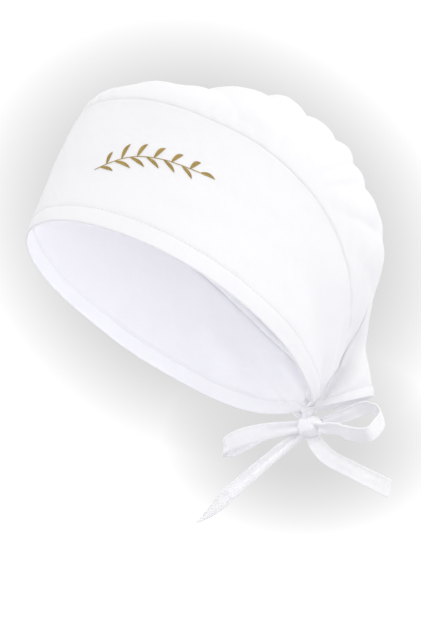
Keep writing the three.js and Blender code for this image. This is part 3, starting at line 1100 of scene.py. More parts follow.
@dataclass
class Band:
    """The strip round the head, with its lower edge turned up and stitched."""

    cap: DressedCap
    cloth: float = 1.3
    hem: float = 1.7
    hem_height: float = 12.5
    hem_step: float = 3.0
    stitch_height: float = 10.0
    pucker: float = 0.13
    pucker_reach: float = 4.5
    dent: float = 0.3
    dent_reach: float = 1.3
    seam_gap: float = 0.12
    seam_roll: float = 0.75
    seam_thinning: float = 0.35
    seam_reach: float = 1.5
    counts: tuple[int, ...] = (27, 27, 25, 22, 18, 14, 12, 10)
    hem_rows: tuple[float, ...] = (
        *(0, 0.9, 2.2, 4, 6, 7.8, 9, 9.6, 10),
        *(10.4, 11, 11.6, 12.2, 12.8, 13.4, 14.5, 17),
    )
    open_rows: int = 34
    seam_rows: tuple[float, ...] = (4.5, 3.2, 2.3, 1.6, 1.0, 0.6, 0.3, 0.0)
    flat: tuple[float, float] = (0.57, 0.10)
    flat_area: float = 0.0455

    def columns(self) -> tuple[Array, Array]:
        """Turns from tie to tie over the brow, and the seam's level at each.

        Returns:
            The turns and the levels.
        """
        left = self.cap.seam_columns(self.counts)
        both = np.vstack([left[:0:-1] * [-1, 1], left])
        return both[:, 0], both[:, 1]

    def squeeze(self, total: Array) -> Array:
        """How much lower the hem is where the band narrows towards the tie."""
        return np.minimum(total / TALL, 1)

    def heights(self, total: Array) -> Array:
        """Heights of the rows above the edge, for columns of the given total heights.

        Args:
            total: Each column's whole height.

        Returns:
            Rows of heights, one for each column.
        """
        hem = np.array(self.hem_rows)[:, None] * self.squeeze(total)
        near = total - np.array(self.seam_rows)[:, None] * self.squeeze(total)
        share = np.linspace(0, 1, self.open_rows + 2)[1:-1, None]
        return np.vstack([hem, mix(hem[-1], near[0], share), near])

    def total(self, turn: Array, level: Array) -> Array:
        """Each column's height from the edge to just under the seam."""
        climb = np.linspace(0, 1, 120)[:, None] * level
        return arc_lengths(self.cap.shape.smooth(turn, climb))[-1] - self.seam_gap

    def face(self, turn: Array, height: Array, total: Array) -> tuple[Array, Array]:
        """Points of the outer face at heights above the edge, and its outward directions.

        Args:
            turn: Turns in degrees.
            height: Rows of heights.
            total: Each column's whole height.

        Returns:
            The points and the directions.
        """
        level = self.cap.shape.levels_above(turn, np.zeros(len(turn)), height)
        face, outward = self.cap.face(turn, level)
        return face + outward * self.sewing(turn, height, total)[..., None], outward

    def sewing(self, turn: Array, height: Array, total: Array) -> Array:
        """How the stitches and the seam draw the outer face in.

        Args:
            turn: Turns in degrees.
            height: Rows of heights.
            total: Each column's whole height.

        Returns:
            A height for each point, below zero where it is drawn in.
        """
        along = turn * self.cap.shape.degree
        line = height / self.squeeze(total) - self.stitch_height
        pucker = np.sin(along / 2.1 + np.sin(along / 13)) * (0.6 + 0.4 * np.sin(along / 29 + 2))
        dent = self.dent * bell(line / self.dent_reach)
        drawn = self.pucker * pucker * bell(line / self.pucker_reach) - dent
        return drawn - self.seam_roll * bell((total - height) / self.seam_reach)

    def thickness(self, height: Array, total: Array) -> Array:
        """The wall's thickness: the turned-up hem is thicker.

        Args:
            height: Rows of heights.
            total: Each column's whole height.

        Returns:
            A thickness for each point.
        """
        step = eased((height / self.squeeze(total) - self.hem_height + self.hem_step / 2) / self.hem_step)
        thinned = self.seam_thinning * bell((total - height) / self.seam_reach)
        return mix(self.hem, self.cloth, step) - thinned

    def build(self) -> bpy.types.Object:
        """Makes the band's cloth.

        Returns:
            The new piece.
        """
        turn, level = self.columns()
        total = self.total(turn, level)
        height = self.heights(total)
        outer, outward = self.face(turn, height, total)
        inner = outer - outward * self.thickness(height, total)[..., None]
        down, up = unit(outer[0] - outer[1]), unit(outer[-1] - outer[-2])
        rows = np.concatenate([
            rim(outer[0], inner[0], down, LOWER_OUTER),
            outer,
            rim(outer[-1], inner[-1], up, UPPER),
            inner[::-1],
            rim(outer[0], inner[0], down, LOWER_INNER),
        ])
        rows = self.cap.shape.worn(rows)
        loop = np.concatenate([rows, rows[:1]])
        around = arc_lengths(outer[len(self.hem_rows)])
        marks = np.stack([np.broadcast_to(around, loop.shape[:2]), arc_lengths(loop)], -1)
        return Shell(rows, marks, closed_profile=True).build("band_cloth")


@dataclass
class Crown:
    """The soft upper part, which hangs behind the tie as a pouch with a hem of its own."""

    cap: DressedCap
    cloth: float = 1.3
    hem: float = 2.0
    hem_height: float = 9.0
    stitch_height: float = 7.2
    allowance: float = 6.0
    pucker: float = 0.12
    pucker_reach: float = 4.0
    dent: float = 0.3
    dent_reach: float = 1.3
    tuck: float = 1.55
    seam_roll: float = 0.75
    seam_gap: float = 0.12
    seam_thinning: float = 0.35
    seam_reach: float = 1.5
    skirt_top: float = 5.0
    counts: tuple[int, ...] = (27, 27, 25, 22, 18, 14, 12, 10)
    pouch_columns: int = 24
    tuck_rows: tuple[float, ...] = (1.0, 0.66, 0.33, 0.12)
    low_rows: tuple[float, ...] = (0, 0.4, 0.9, 1.6, 2.6, 4, 5.8, 6.8, 7.2, 7.6, 8.3, 8.8, 9.3, 10.5, 12.5)
    skirt_rows: int = 24
    cap_rows: int = 44
    flat: tuple[float, float] = (0.36, 0.34)
    flat_area: float = 0.080

    def columns(self) -> Array:
        """Turn, low level, even turn and share of seam for columns round the whole cap.

        Returns:
            The four, one row each.
        """
        seam = self.cap.seam_columns(self.counts)
        pouch = (np.arange(1, self.pouch_columns + 1) / self.pouch_columns) ** 1.3
        turn = np.append(seam[:, 0], mix(self.cap.shape.tie_turn, 180.0, pouch))
        low = np.append(seam[:, 1], np.zeros(self.pouch_columns))
        sewn = np.append(np.ones(len(seam)), np.zeros(self.pouch_columns))
        left = np.stack([turn, low, np.linspace(0, 180, len(turn)), sewn], 1)
        return np.vstack([left[-2:0:-1] * [-1, 1, -1, 1], left]).T

    def places(self, turn: Array, low: Array, even: Array, sewn: Array) -> tuple[Array, Array, Array]:
        """Turn, level and height above the lower edge for each row and column.

        Args:
            turn: Turns in degrees.
            low: The level that each column starts from.
            even: Turns spread evenly, which the columns ease to at the top.
            sewn: 1 where a column ends in the seam, and 0 in the pouch.

        Returns:
            The three, as rows of columns.
        """
        shape = self.cap.shape
        reach = np.minimum(self.allowance, low * shape.storey * 0.3) * sewn
        tuck = -np.array(self.tuck_rows)[:, None] * reach
        heights = np.vstack([tuck, np.array(self.low_rows)[:, None] + self.seam_gap * sewn])
        levels = shape.levels_above(turn, low, heights)
        skirt = mix(levels[-1], self.skirt_top, np.linspace(0, 1, self.skirt_rows + 1)[1:, None])
        share = np.linspace(0, 1, self.cap_rows + 1)[1:-1, None]
        cap = mix(self.skirt_top, shape.top_level, share) + np.zeros(len(turn))
        level = np.vstack([levels, skirt, cap])
        spread = np.vstack([np.zeros((len(levels) + self.skirt_rows, 1)), eased(share)])
        height = np.vstack([heights, np.full((len(level) - len(heights), len(turn)), 99.0)])
        return mix(turn, even, spread), level, height

    def sewing(self, turn: Array, height: Array, sewn: Array) -> Array:
        """How the stitches and the seam draw the outer face in, and the tuck under the band.

        Args:
            turn: Turns in degrees.
            height: Rows of heights.
            sewn: Each column's share of seam.

        Returns:
            A height for each point, below zero where it is drawn in.
        """
        along = turn * self.cap.shape.degree * 4
        line = height - self.stitch_height
        pucker = np.sin(along / 2.1 + np.sin(along / 13))
        dent = self.dent * bell(line / self.dent_reach)
        drawn = self.pucker * pucker * bell(line / self.pucker_reach) - dent
        roll = sewn * self.seam_roll * bell(np.maximum(height, 0) / self.seam_reach)
        return (1 - sewn) * drawn - roll - self.tuck * sewn * eased(-height / 0.8)

    def thickness(self, height: Array, sewn: Array) -> Array:
        """The wall's thickness: the pouch's hem is thicker, and the tuck under the band thinner.

        Args:
            height: Rows of heights.
            sewn: Each column's share of seam.

        Returns:
            A thickness for each point.
        """
        pouch = mix(self.hem, self.cloth, eased((height - self.hem_height + 0.4) / 0.8))
        seam = self.cloth - self.seam_thinning * bell(np.maximum(height, 0) / self.seam_reach)
        return mix(pouch, seam, sewn)

    def build(self) -> bpy.types.Object:
        """Makes the crown's cloth.

        Returns:
            The new piece.
        """
        shape = self.cap.shape
        turn, low, even, sewn = self.columns()
        turns, level, height = self.places(turn, low, even, sewn)
        outer, outward = self.cap.face(turns, level)
        outer = outer + outward * self.sewing(turns, height, sewn)[..., None]
        inner = outer - outward * self.thickness(height, sewn)[..., None]
        edge = rim(outer[0], inner[0], unit(outer[0] - outer[1]), UPPER[::-1])
        top, _ = self.cap.face(np.array([0.0]), np.array([float(shape.top_level)]))
        from_top = arc_lengths(outer[::-1])
        spokes = np.vstack([from_top, np.tile(from_top[-1:] + self.cloth / 2, (4, 1)), from_top[::-1]])
        bearing = np.radians(np.vstack([turns[::-1], np.tile(turns[:1], (4, 1)), turns]))
        marks = np.stack([spokes * np.sin(bearing), -spokes * np.cos(bearing)], -1)
        marks = np.concatenate([marks, marks[:, :1]], 1)
        rows = shape.worn(np.concatenate([inner[::-1], edge, outer]))
        poles = shape.worn(top - [[0, 0, self.cloth]]), shape.worn(top)
        return Shell(rows, marks, closed_profile=False, poles=poles).build("crown_cloth")


class Grain:
    """Short threads, each a long grain laid on the cloth, joined into one mesh."""

    bluntness = 0.55

    def __init__(self) -> None:
        """Models one grain, which is copied for every stitch."""
        self.points, self.faces = unit_ball(segments=6, rings=6)

    def lay(
        self, name: str, starts: Array, ends: Array, outward: Array, radius: float, bow: float
    ) -> bpy.types.Object:
        """Lays a thread from each start to its end.

        Args:
            name: The piece's name.
            starts: Where the threads begin, in millimetres.
            ends: Where they end.
            outward: The cloth's outward direction at each.
            radius: The thread's radius.
            bow: How far the middle of a thread stands above its ends.

        Returns:
            The joined piece.
        """
        run = ends - starts
        along = unit(run)
        across = unit(np.cross(outward, along))
        up = np.cross(along, across)
        share = np.sign(self.points[:, 2]) * np.abs(self.points[:, 2]) ** self.bluntness
        girth = radius * self.points[:, :2]
        middle = (starts + ends)[:, None] / 2 + run[:, None] / 2 * share[None, :, None]
        lifted = bow * (1 - share**2)[None, :, None] * outward[:, None]
        points = middle + lifted + across[:, None] * girth[None, :, :1] + up[:, None] * girth[None, :, 1:]
        size = len(self.points)
        faces = [[i * size + k for k in face] for i in range(len(starts)) for face in self.faces]
        return add_piece(name, points, faces)


@dataclass
class StitchLines:
    """Lines of machine stitches: along both faces of the hem and round the pouch's edge."""

    band: Band
    crown: Crown
    grain: Grain
    pitch: float = 2.9
    gap: float = 0.6
    radius: float = 0.17
    bow: float = 0.08
    hem_reach: float = 147.0
    pouch_reach: tuple[float, float] = (152.0, 208.0)

    def along(self, line: Array, outward: Array) -> tuple[Array, Array, Array]:
        """Starts, ends and outward directions of stitches along a finely stepped line.

        Args:
            line: Points of the line.
            outward: The cloth's outward directions.

        Returns:
            One of each for every stitch.
        """
        length = arc_lengths(line)
        begin = np.arange(int(length[-1] / self.pitch)) * self.pitch + self.gap / 2
        middle = unit(sampled(begin + self.pitch / 2, length, outward))
        return sampled(begin, length, line), sampled(begin + self.pitch - self.gap, length, line), middle

    def hem_line(self, inside: bool) -> tuple[Array, Array]:
        """The hem's stitch line from tie to tie, on either face, in the part's frame.

        Args:
            inside: Whether it lies on the inner face.

        Returns:
            The line's points and outward directions.
        """
        cap = self.band.cap
        turn = np.linspace(-self.hem_reach, self.hem_reach, 1400)
        total = self.band.total(turn, cap.shape.seam_level(turn))
        height = (self.band.stitch_height * self.band.squeeze(total))[None]
        face, outward = self.band.face(turn, height, total)
        if inside:
            face = face - outward * self.band.thickness(height, total)[..., None]
            outward = -outward
        return cap.shape.worn(face[0]), cap.shape.worn(outward[0])

    def pouch_line(self) -> tuple[Array, Array]:
        """The stitch line of the pouch's hem on its outer face.

        Returns:
            The line's points and outward directions.
        """
        cap = self.crown.cap
        turn = np.linspace(*self.pouch_reach, 500)
        height = np.full((1, len(turn)), self.crown.stitch_height)
        level = cap.shape.levels_above(turn, np.zeros(len(turn)), height)
        face, outward = cap.face(turn, level)
        face = face + outward * self.crown.sewing(turn, height, np.zeros(len(turn)))[..., None]
        return cap.shape.worn(face[0]), cap.shape.worn(outward[0])

    def build(self) -> list[bpy.types.Object]:
        """Makes the stitches of the hem and of the pouch.

        Returns:
            The three pieces.
        """
        lines = {
            "hem_stitches_outside": self.hem_line(inside=False),
            "hem_stitches_inside": self.hem_line(inside=True),
            "pouch_stitches": self.pouch_line(),
        }
        pieces = []
        for name, (line, outward) in lines.items():
            pieces.append(self.grain.lay(name, *self.along(line, outward), self.radius, self.bow))
        return pieces


@dataclass
class Sprig:
    """A small leaf sprig in gold thread on the band's left side: a stem and pairs of slim leaves."""

    cap: DressedCap
    grain: Grain
    turn: float = 44.0
    level: float = 2.6
    rise: float = 18.0
    length: float = 72.0
    bend: float = 6.0
    leaves: int = 6
    leaf_length: float = 13.0
    leaf_half: float = 1.35
    leaf_angle: float = 42.0
    stem_half: float = 0.16
    stem_step: float = 0.9
    stem_thread: float = 2.6
    pitch: float = 0.34
    radius: float = 0.2
    bow: float = 0.12

    def stem(self, share: Array) -> Array:
        """Points of the stem in the sprig's own chart, along and up."""
        along = (share - 0.5) * self.length
        return np.stack([along, self.bend * np.sin(share * math.pi * 1.15) - self.bend / 2], -1)

    def leaf(self, root: Array, heading: float, length: float, half: float) -> list[tuple[Array, Array]]:
        """Satin threads of one leaf, on both sides of its rib.

        Args:
            root: Where the leaf starts, in the chart.
            heading: Which way it grows, in radians.
            length: How long it is.
            half: Half its breadth.

        Returns:
            Pairs of chart points.
        """
        along = np.array([math.cos(heading), math.sin(heading)])
        aside = np.array([-along[1], along[0]])
        threads = []
        for share in np.arange(0.5, length / self.pitch) * self.pitch / length:
            width = half * math.sin(math.pi * share**0.85) ** 0.8
            rib = root + along * length * share + aside * 0.9 * math.sin(math.pi * share)
            for side in (-1, 1):
                threads.append((rib, rib + (aside * side + along * 0.9) * width))
        return threads

    def threads(self) -> list[tuple[Array, Array]]:
        """All threads of the sprig, as pairs of chart points.

        Returns:
            The pairs, stem first.
        """
        laid = []
        drift = np.array([0, self.stem_half])
        for share in np.arange(0, 1, self.stem_step / self.length):
            start, end = self.stem(np.array([share, min(share + self.stem_thread / self.length, 1)]))
            laid.append((start - drift, end + drift))
        for i in range(self.leaves):
            share = mix(0.1, 0.88, i / (self.leaves - 1))
            size = mix(1.0, 0.62, share) * (0.8 if i == 0 else 1.0)
            for side in (-1, 1):
                root, ahead = self.stem(np.array([share, share + 0.01]) + 0.035 * side)
                heading = math.atan2(*(ahead - root)[::-1]) + side * math.radians(self.leaf_angle)
                laid += self.leaf(root, heading, self.leaf_length * size, self.leaf_half * mix(0.8, 1, size))
        tip, before = self.stem(np.array([1.0, 0.98]))
        ahead = math.atan2(*(tip - before)[::-1])
        return laid + self.leaf(tip, ahead, self.leaf_length * 0.72, self.leaf_half * 0.85)

    def build(self) -> bpy.types.Object:
        """Lays the threads on the band.

        Returns:
            The new piece.
        """
        shape = self.cap.shape
        turns, levels = np.array([0, 1, 0]) + self.turn, np.array([0, 0, 0.1]) + self.level
        here, aside, above = shape.smooth(turns, levels)
        degree, storey = np.linalg.norm(aside - here), np.linalg.norm(above - here) * 10
        lean = math.radians(self.rise)
        spin = np.array([[math.cos(lean), math.sin(lean)], [-math.sin(lean), math.cos(lean)]])
        chart = np.array(self.threads()) @ spin
        swing, climb = chart[..., 0] / degree, chart[..., 1] / storey
        face, outward = self.cap.face(self.turn + swing, self.level + climb)
        face = shape.worn(face + outward * self.radius * 0.45)
        up = unit(shape.worn(outward[:, 0] + outward[:, 1]))
        return self.grain.lay("gold_sprig", face[:, 0], face[:, 1], up, self.radius, self.bow)


@dataclass(frozen=True)
class TieRow:
    """A place on a tie's route, in the bow's frame, and the share of its full width that it has there."""

    out: float
    back: float
    up: float
    width: float


@dataclass
class Knot:
    """The tied knot, and the bow's place and turn."""

    shape: CapShape
    size: tuple[float, float, float] = (18.0, 12.0, 12.5)
    behind: float = 10.4
    below: float = 9.5
    yaw: float = 35.0
    square: float = 0.8
    wrap_half: float = 0.56
    wrap_fade: float = 9.0
    wrap_lift: float = 0.45
    crease_places: tuple[float, ...] = (-0.27, 0.05, 0.31)
    crease_half: float = 0.06
    crease_depth: float = 0.38
    ends_sink: float = 0.35
    ends_pleat: float = 0.3
    crumple: float = 0.18
    segments: int = 120
    rings: int = 80

    @property
    def place(self) -> Array:
        """The middle of the knot in the part's frame.

        Returns:
            The point.
        """
        lean = math.radians(self.shape.worn_tilt)
        half = self.shape.head_length / 2
        return np.array([0, half * math.cos(lean) + self.behind, -half * math.sin(lean) - self.below])

    def turned(self, places: Array, yaw: float) -> Array:
        """Points or directions of the bow's frame turned about the upright.

        Args:
            places: Points or directions.
            yaw: By how many degrees they turn.

        Returns:
            The turned ones.
        """
        c, s = math.cos(math.radians(yaw)), math.sin(math.radians(yaw))
        x, y = places[..., 0] * c - places[..., 1] * s, places[..., 0] * s + places[..., 1] * c
        return np.stack([x, y, places[..., 2]], -1)

    def depth(self, places: Array) -> Array:
        """0 at the middle of the knot and 1 at its surface, for points in the bow's frame."""
        share = np.abs(places) / (np.array(self.size) / 2)
        return (share ** (1 / self.square)).sum(-1) ** self.square

    def build(self) -> bpy.types.Object:
        """Makes the knot: a turn of the tie wrapped round the gathered middle of the bow.

        Returns:
            The new piece.
        """
        ball, faces = unit_ball(self.segments, self.rings)
        ball = ball[:, [2, 0, 1]]
        around = np.arctan2(ball[:, 2], ball[:, 1])
        across = ball[:, 0] + 0.16 * np.sin(around + 0.6)
        body = np.sign(ball) * np.abs(ball) ** self.square * np.array(self.size) / 2
        wrap = 1 / (1 + np.abs(across / self.wrap_half) ** self.wrap_fade)
        creases = sum(
            bell((across - at) / self.crease_half) * (0.7 + 0.3 * np.sin(2 * around + 9 * at))
            for at in self.crease_places
        )
        ends = np.sin(7 * around + 2 * np.sin(around)) * (1 - wrap)
        lift = self.wrap_lift * wrap - self.crease_depth * creases * wrap
        lift = lift - self.ends_sink * (1 - wrap) + self.ends_pleat * ends
        lift += self.crumple * soft_noise(body, 5.0, 21)
        swollen = body * (1 + lift[:, None] / np.linalg.norm(body, axis=1, keepdims=True))
        points = self.turned(swollen, self.yaw) + self.place
        places = []
        for face in faces:
            turned = around[face]
            turned = np.where(turned.max() - turned < math.pi, turned, turned + TAU)
            places.append(np.stack([turned * 5, across[face] * 7], -1))
        return add_piece("tie_knot_cloth", points, faces, np.concatenate(places))


@dataclass
class Tie:
    """A narrow folded tape on a route, edge-stitched, pleated where the knot draws it together."""

    name: str
    route: tuple[TieRow, ...]
    across: tuple[float, float, float]
    steps: int
    seed: int
    slant: float = 0.0
    in_bow: bool = True
    trim_start: bool = True
    trim_end: bool = False
    width: float = 11.0
    cloth: float = 1.15
    rows: int = 19
    sunk: float = 0.86
    pleat: float = 3.1
    pleat_most: float = 0.6
    point_length: float = 45.0
    sway: float = 0.35
    waver: float = 0.12
    twist: float = 0.07
    ripple: float = 0.1
    dish: float = 0.4
    stitch_line: float = 0.74
    stitch_side: float = 0.72
    stitch_pitch: float = 2.6
    stitch_gap: float = 0.55
    stitch_radius: float = 0.15
    stitch_bow: float = 0.05

    def stations(self, knot: Knot) -> tuple[Array, Array, Array, Array, Array]:
        """Centre, along, edgewise, facing and half width at each step of the route.

        Args:
            knot: The knot that the tie runs into.

        Returns:
            The five, in that order.
        """
        points = np.array([[row.out, row.back, row.up] for row in self.route])
        widths = np.array([[i, row.width] for i, row in enumerate(self.route)], float)
        share = np.linspace(0, len(points) - 1, 600)
        centre = route_curve(points, share)
        seen = centre if self.in_bow else knot.turned(centre, -knot.yaw)
        outside = np.flatnonzero(knot.depth(seen) > self.sunk)
        length = arc_lengths(centre)
        first = length[outside[0]] if self.trim_start else 0.0
        last = length[outside[-1]] if self.trim_end else length[-1]
        at = np.interp(np.linspace(first, last, self.steps + 1), length, share)
        along = unit(route_curve(points, at + 1e-3) - route_curve(points, at - 1e-3))
        across = np.array(self.across)
        edgewise = unit(across - along * (along @ across)[:, None])
        half = self.width / 2 * spline(widths, at)[:, 1]
        return route_curve(points, at), along, edgewise, np.cross(along, edgewise), half

    def profile(self) -> tuple[Array, Array]:
        """The tape's cross-section, once round it: shares of its half width and of its half thickness.

        Returns:
            The two shares, one of each for every row.
        """
        u = np.linspace(-0.9, 0.9, self.rows)
        ditch = 0.25 * bell((np.abs(u) - self.stitch_line) / 0.05)
        flat = 0.78 + 0.22 * eased((np.abs(u) - 0.5) / 0.2) - ditch
        edge = np.radians([36, 72])
        side_u = np.concatenate([-0.9 - 0.1 * np.cos(edge), u, 0.9 + 0.1 * np.cos(edge[::-1])])
        side_t = np.concatenate([np.sin(edge), flat, np.sin(edge[::-1])])
        return np.append(side_u, side_u[::-1]), np.append(side_t, -side_t[::-1])

    def faces(self, knot: Knot, u: Array, t: Array) -> tuple[Array, Array]:
        """Points of the tape at shares of its half width and thickness, and its stations' facing.

        Args:
            knot: The knot that the tie runs into.
            u: Shares of the half width, one for each row.
            t: Shares of the half thickness, one for each row.

        Returns:
            Rows of points, and the facing of each station.
        """
        centre, along, edgewise, facing, half = self.stations(knot)
        full = self.width / 2
        s = arc_lengths(centre)
        pointed = self.route[-1].width < 0.2
        gathered = eased((s[-1] - s) / self.point_length) if pointed else 1.0
        pleat = self.pleat * np.clip(1 - half / full, 0, self.pleat_most) * gathered
        wave = np.cos(1.55 * math.pi * u[:, None] + 0.5 * math.sin(self.seed)) - 0.3
        sway = self.sway * soft_noise(s[:, None], 22, self.seed)
        sway = sway + self.waver * soft_noise(s[:, None], 8, self.seed + 1)
        twist = self.twist * soft_noise(s[:, None], 30, self.seed + 2)
        flat = np.stack(np.broadcast_arrays(u[:, None] * full, s), -1)
        ripple = self.ripple * soft_noise(flat, 6, self.seed + 3) + self.dish * u[:, None] ** 2
        offset = t[:, None] * self.cloth / 2 + pleat * wave + sway + twist * u[:, None] * half + ripple
        points = centre + edgewise * (u[:, None] * half)[..., None] + facing * offset[..., None]
        lean = np.linspace(0, 1, len(s)) ** 8 * -self.slant / 2
        return points + along * (u[:, None] * lean)[..., None], facing

    def set_in(self, knot: Knot, directions: Array) -> Array:
        """Directions of the tie's own frame in the part's frame."""
        return knot.turned(directions, knot.yaw) if self.in_bow else directions

    def build(self, knot: Knot) -> bpy.types.Object:
        """Makes the tape.

        Args:
            knot: The knot that the tie runs into.

        Returns:
            The new piece.
        """
        u, t = self.profile()
        rows = self.set_in(knot, self.faces(knot, u, t)[0]) + knot.place
        loop = np.concatenate([rows, rows[:1]])
        down = arc_lengths(rows[len(u) // 4])
        marks = np.stack([arc_lengths(loop), np.broadcast_to(down, loop.shape[:2])], -1)
        return Shell(rows, marks, closed_profile=True).build(f"{self.name}_cloth")

    def length(self, knot: Knot) -> float:
        """How long the tape is, in metres."""
        return float(arc_lengths(self.stations(knot)[0])[-1]) * MM

    def edge_stitches(self, knot: Knot) -> tuple[Array, Array, Array]:
        """Starts, ends and outward directions of the stitches along one edge, on both faces.

        Args:
            knot: The knot that the tie runs into.

        Returns:
            One of each for every stitch.
        """
        starts, ends, ups = [], [], []
        pitch, gap = self.stitch_pitch, self.stitch_gap
        for side in (-1, 1):
            across, deep = np.array([self.stitch_line]), np.array([side * self.stitch_side])
            points, facing = self.faces(knot, across, deep)
            length = arc_lengths(points[0])
            begin = np.arange(pitch, length[-1] - pitch, pitch)
            starts.append(sampled(begin, length, points[0]))
            ends.append(sampled(begin + pitch - gap, length, points[0]))
            ups.append(unit(sampled(begin + pitch / 2, length, facing * side)))
        start, end, up = (self.set_in(knot, np.vstack(group)) for group in (starts, ends, ups))
        return start + knot.place, end + knot.place, up


def bow_ties() -> list[Tie]:
    """The two loops, the two tails and the two roots, each on its own route.

    Returns:
        The six ties.
    """
    root = (
        TieRow(8.5, -4.3, 10, 1.0),
        TieRow(5.5, -2.8, 7.5, 0.86),
        TieRow(3.5, -1.2, 4.8, 0.68),
        TieRow(2.2, -0.6, 2.4, 0.5),
    )
    mirrored = tuple(TieRow(-row.out, row.back, row.up, row.width) for row in root)
    ends = {"in_bow": False, "trim_start": False, "trim_end": True}
    return [
        Tie(
            "bow_loop_left",
            (
                TieRow(4, 2, 1, 0.6),
                TieRow(16.5, 4, 4.2, 0.75),
                TieRow(35, 8, 8.8, 0.95),
                TieRow(45, 6, 6, 1),
                TieRow(51, -2, -4.5, 1),
                TieRow(48, -10.5, -12.5, 1),
                TieRow(37, -11, -11.5, 1),
                TieRow(22, -7.5, -6, 0.95),
                TieRow(4, -2.5, -1, 0.7),
            ),
            (0.13, -0.74, 0.66),
            steps=120,
            seed=31,
            trim_end=True,
        ),
        Tie(
            "bow_loop_right",
            (
                TieRow(-4, -3, 0, 0.7),
                TieRow(-25, -7.5, -1, 0.95),
                TieRow(-40, -11, -3, 1),
                TieRow(-54, -10.5, -6, 0.95),
                TieRow(-60.5, -6, -8, 0.85),
                TieRow(-61, 1, -8, 0.8),
                TieRow(-56, 5.5, -5, 0.85),
                TieRow(-45, 6, -0.5, 0.95),
                TieRow(-27, 3, 2, 0.8),
                TieRow(-4, 1.5, 0.5, 0.6),
            ),
            (0.05, -0.25, 0.97),
            steps=120,
            seed=41,
            trim_end=True,
        ),
        Tie(
            "tie_tail_left",
            (
                TieRow(-1, 1.5, -2, 0.7),
                TieRow(3, 1.5, -10.5, 0.9),
                TieRow(12, 2, -20.5, 0.95),
                TieRow(26.6, 5, -29.5, 0.95),
                TieRow(49, 12, -43, 1),
            ),
            (0, 0, 1),
            steps=80,
            seed=51,
            slant=4.0,
        ),
        Tie(
            "tie_tail_right",
            (
                TieRow(-2, -0.3, -1.5, 0.6),
                TieRow(-13, -0.5, -7.4, 0.66),
                TieRow(-36, -8, -25.8, 0.78),
                TieRow(-55.5, -12, -40.8, 0.88),
                TieRow(-66, -13, -49.3, 0.55),
                TieRow(-75.5, -14, -55, 0.1),
            ),
            (0, 0, 1),
            steps=100,
            seed=61,
        ),
        Tie("tie_root_left", root, (0, 1, 0), steps=16, seed=71, **ends),
        Tie("tie_root_right", mirrored, (0, 1, 0), steps=16, seed=81, **ends),
    ]


@dataclass(frozen=True)
class Lamp:
    """A soft square lamp that faces the cap: where it stands, how large it is, and its power and colour."""

    name: str
    azimuth: float
    elevation: float
    away: float
    size: float
    power: float
    colour: tuple[float, float, float]


@dataclass(frozen=True)
class Pool:
    """A soft oval of the backdrop, grey where it is a painted shadow round the cap or the bow (the glow is a
    white one): its middle in metres beside and above the head opening's, its half axes and its lean in
    degrees, and where it ends and is full, as shares of the half axes."""

    aside: float
    above: float
    wide: float
    tall: float
    lean: float
    ends: float
    full: float


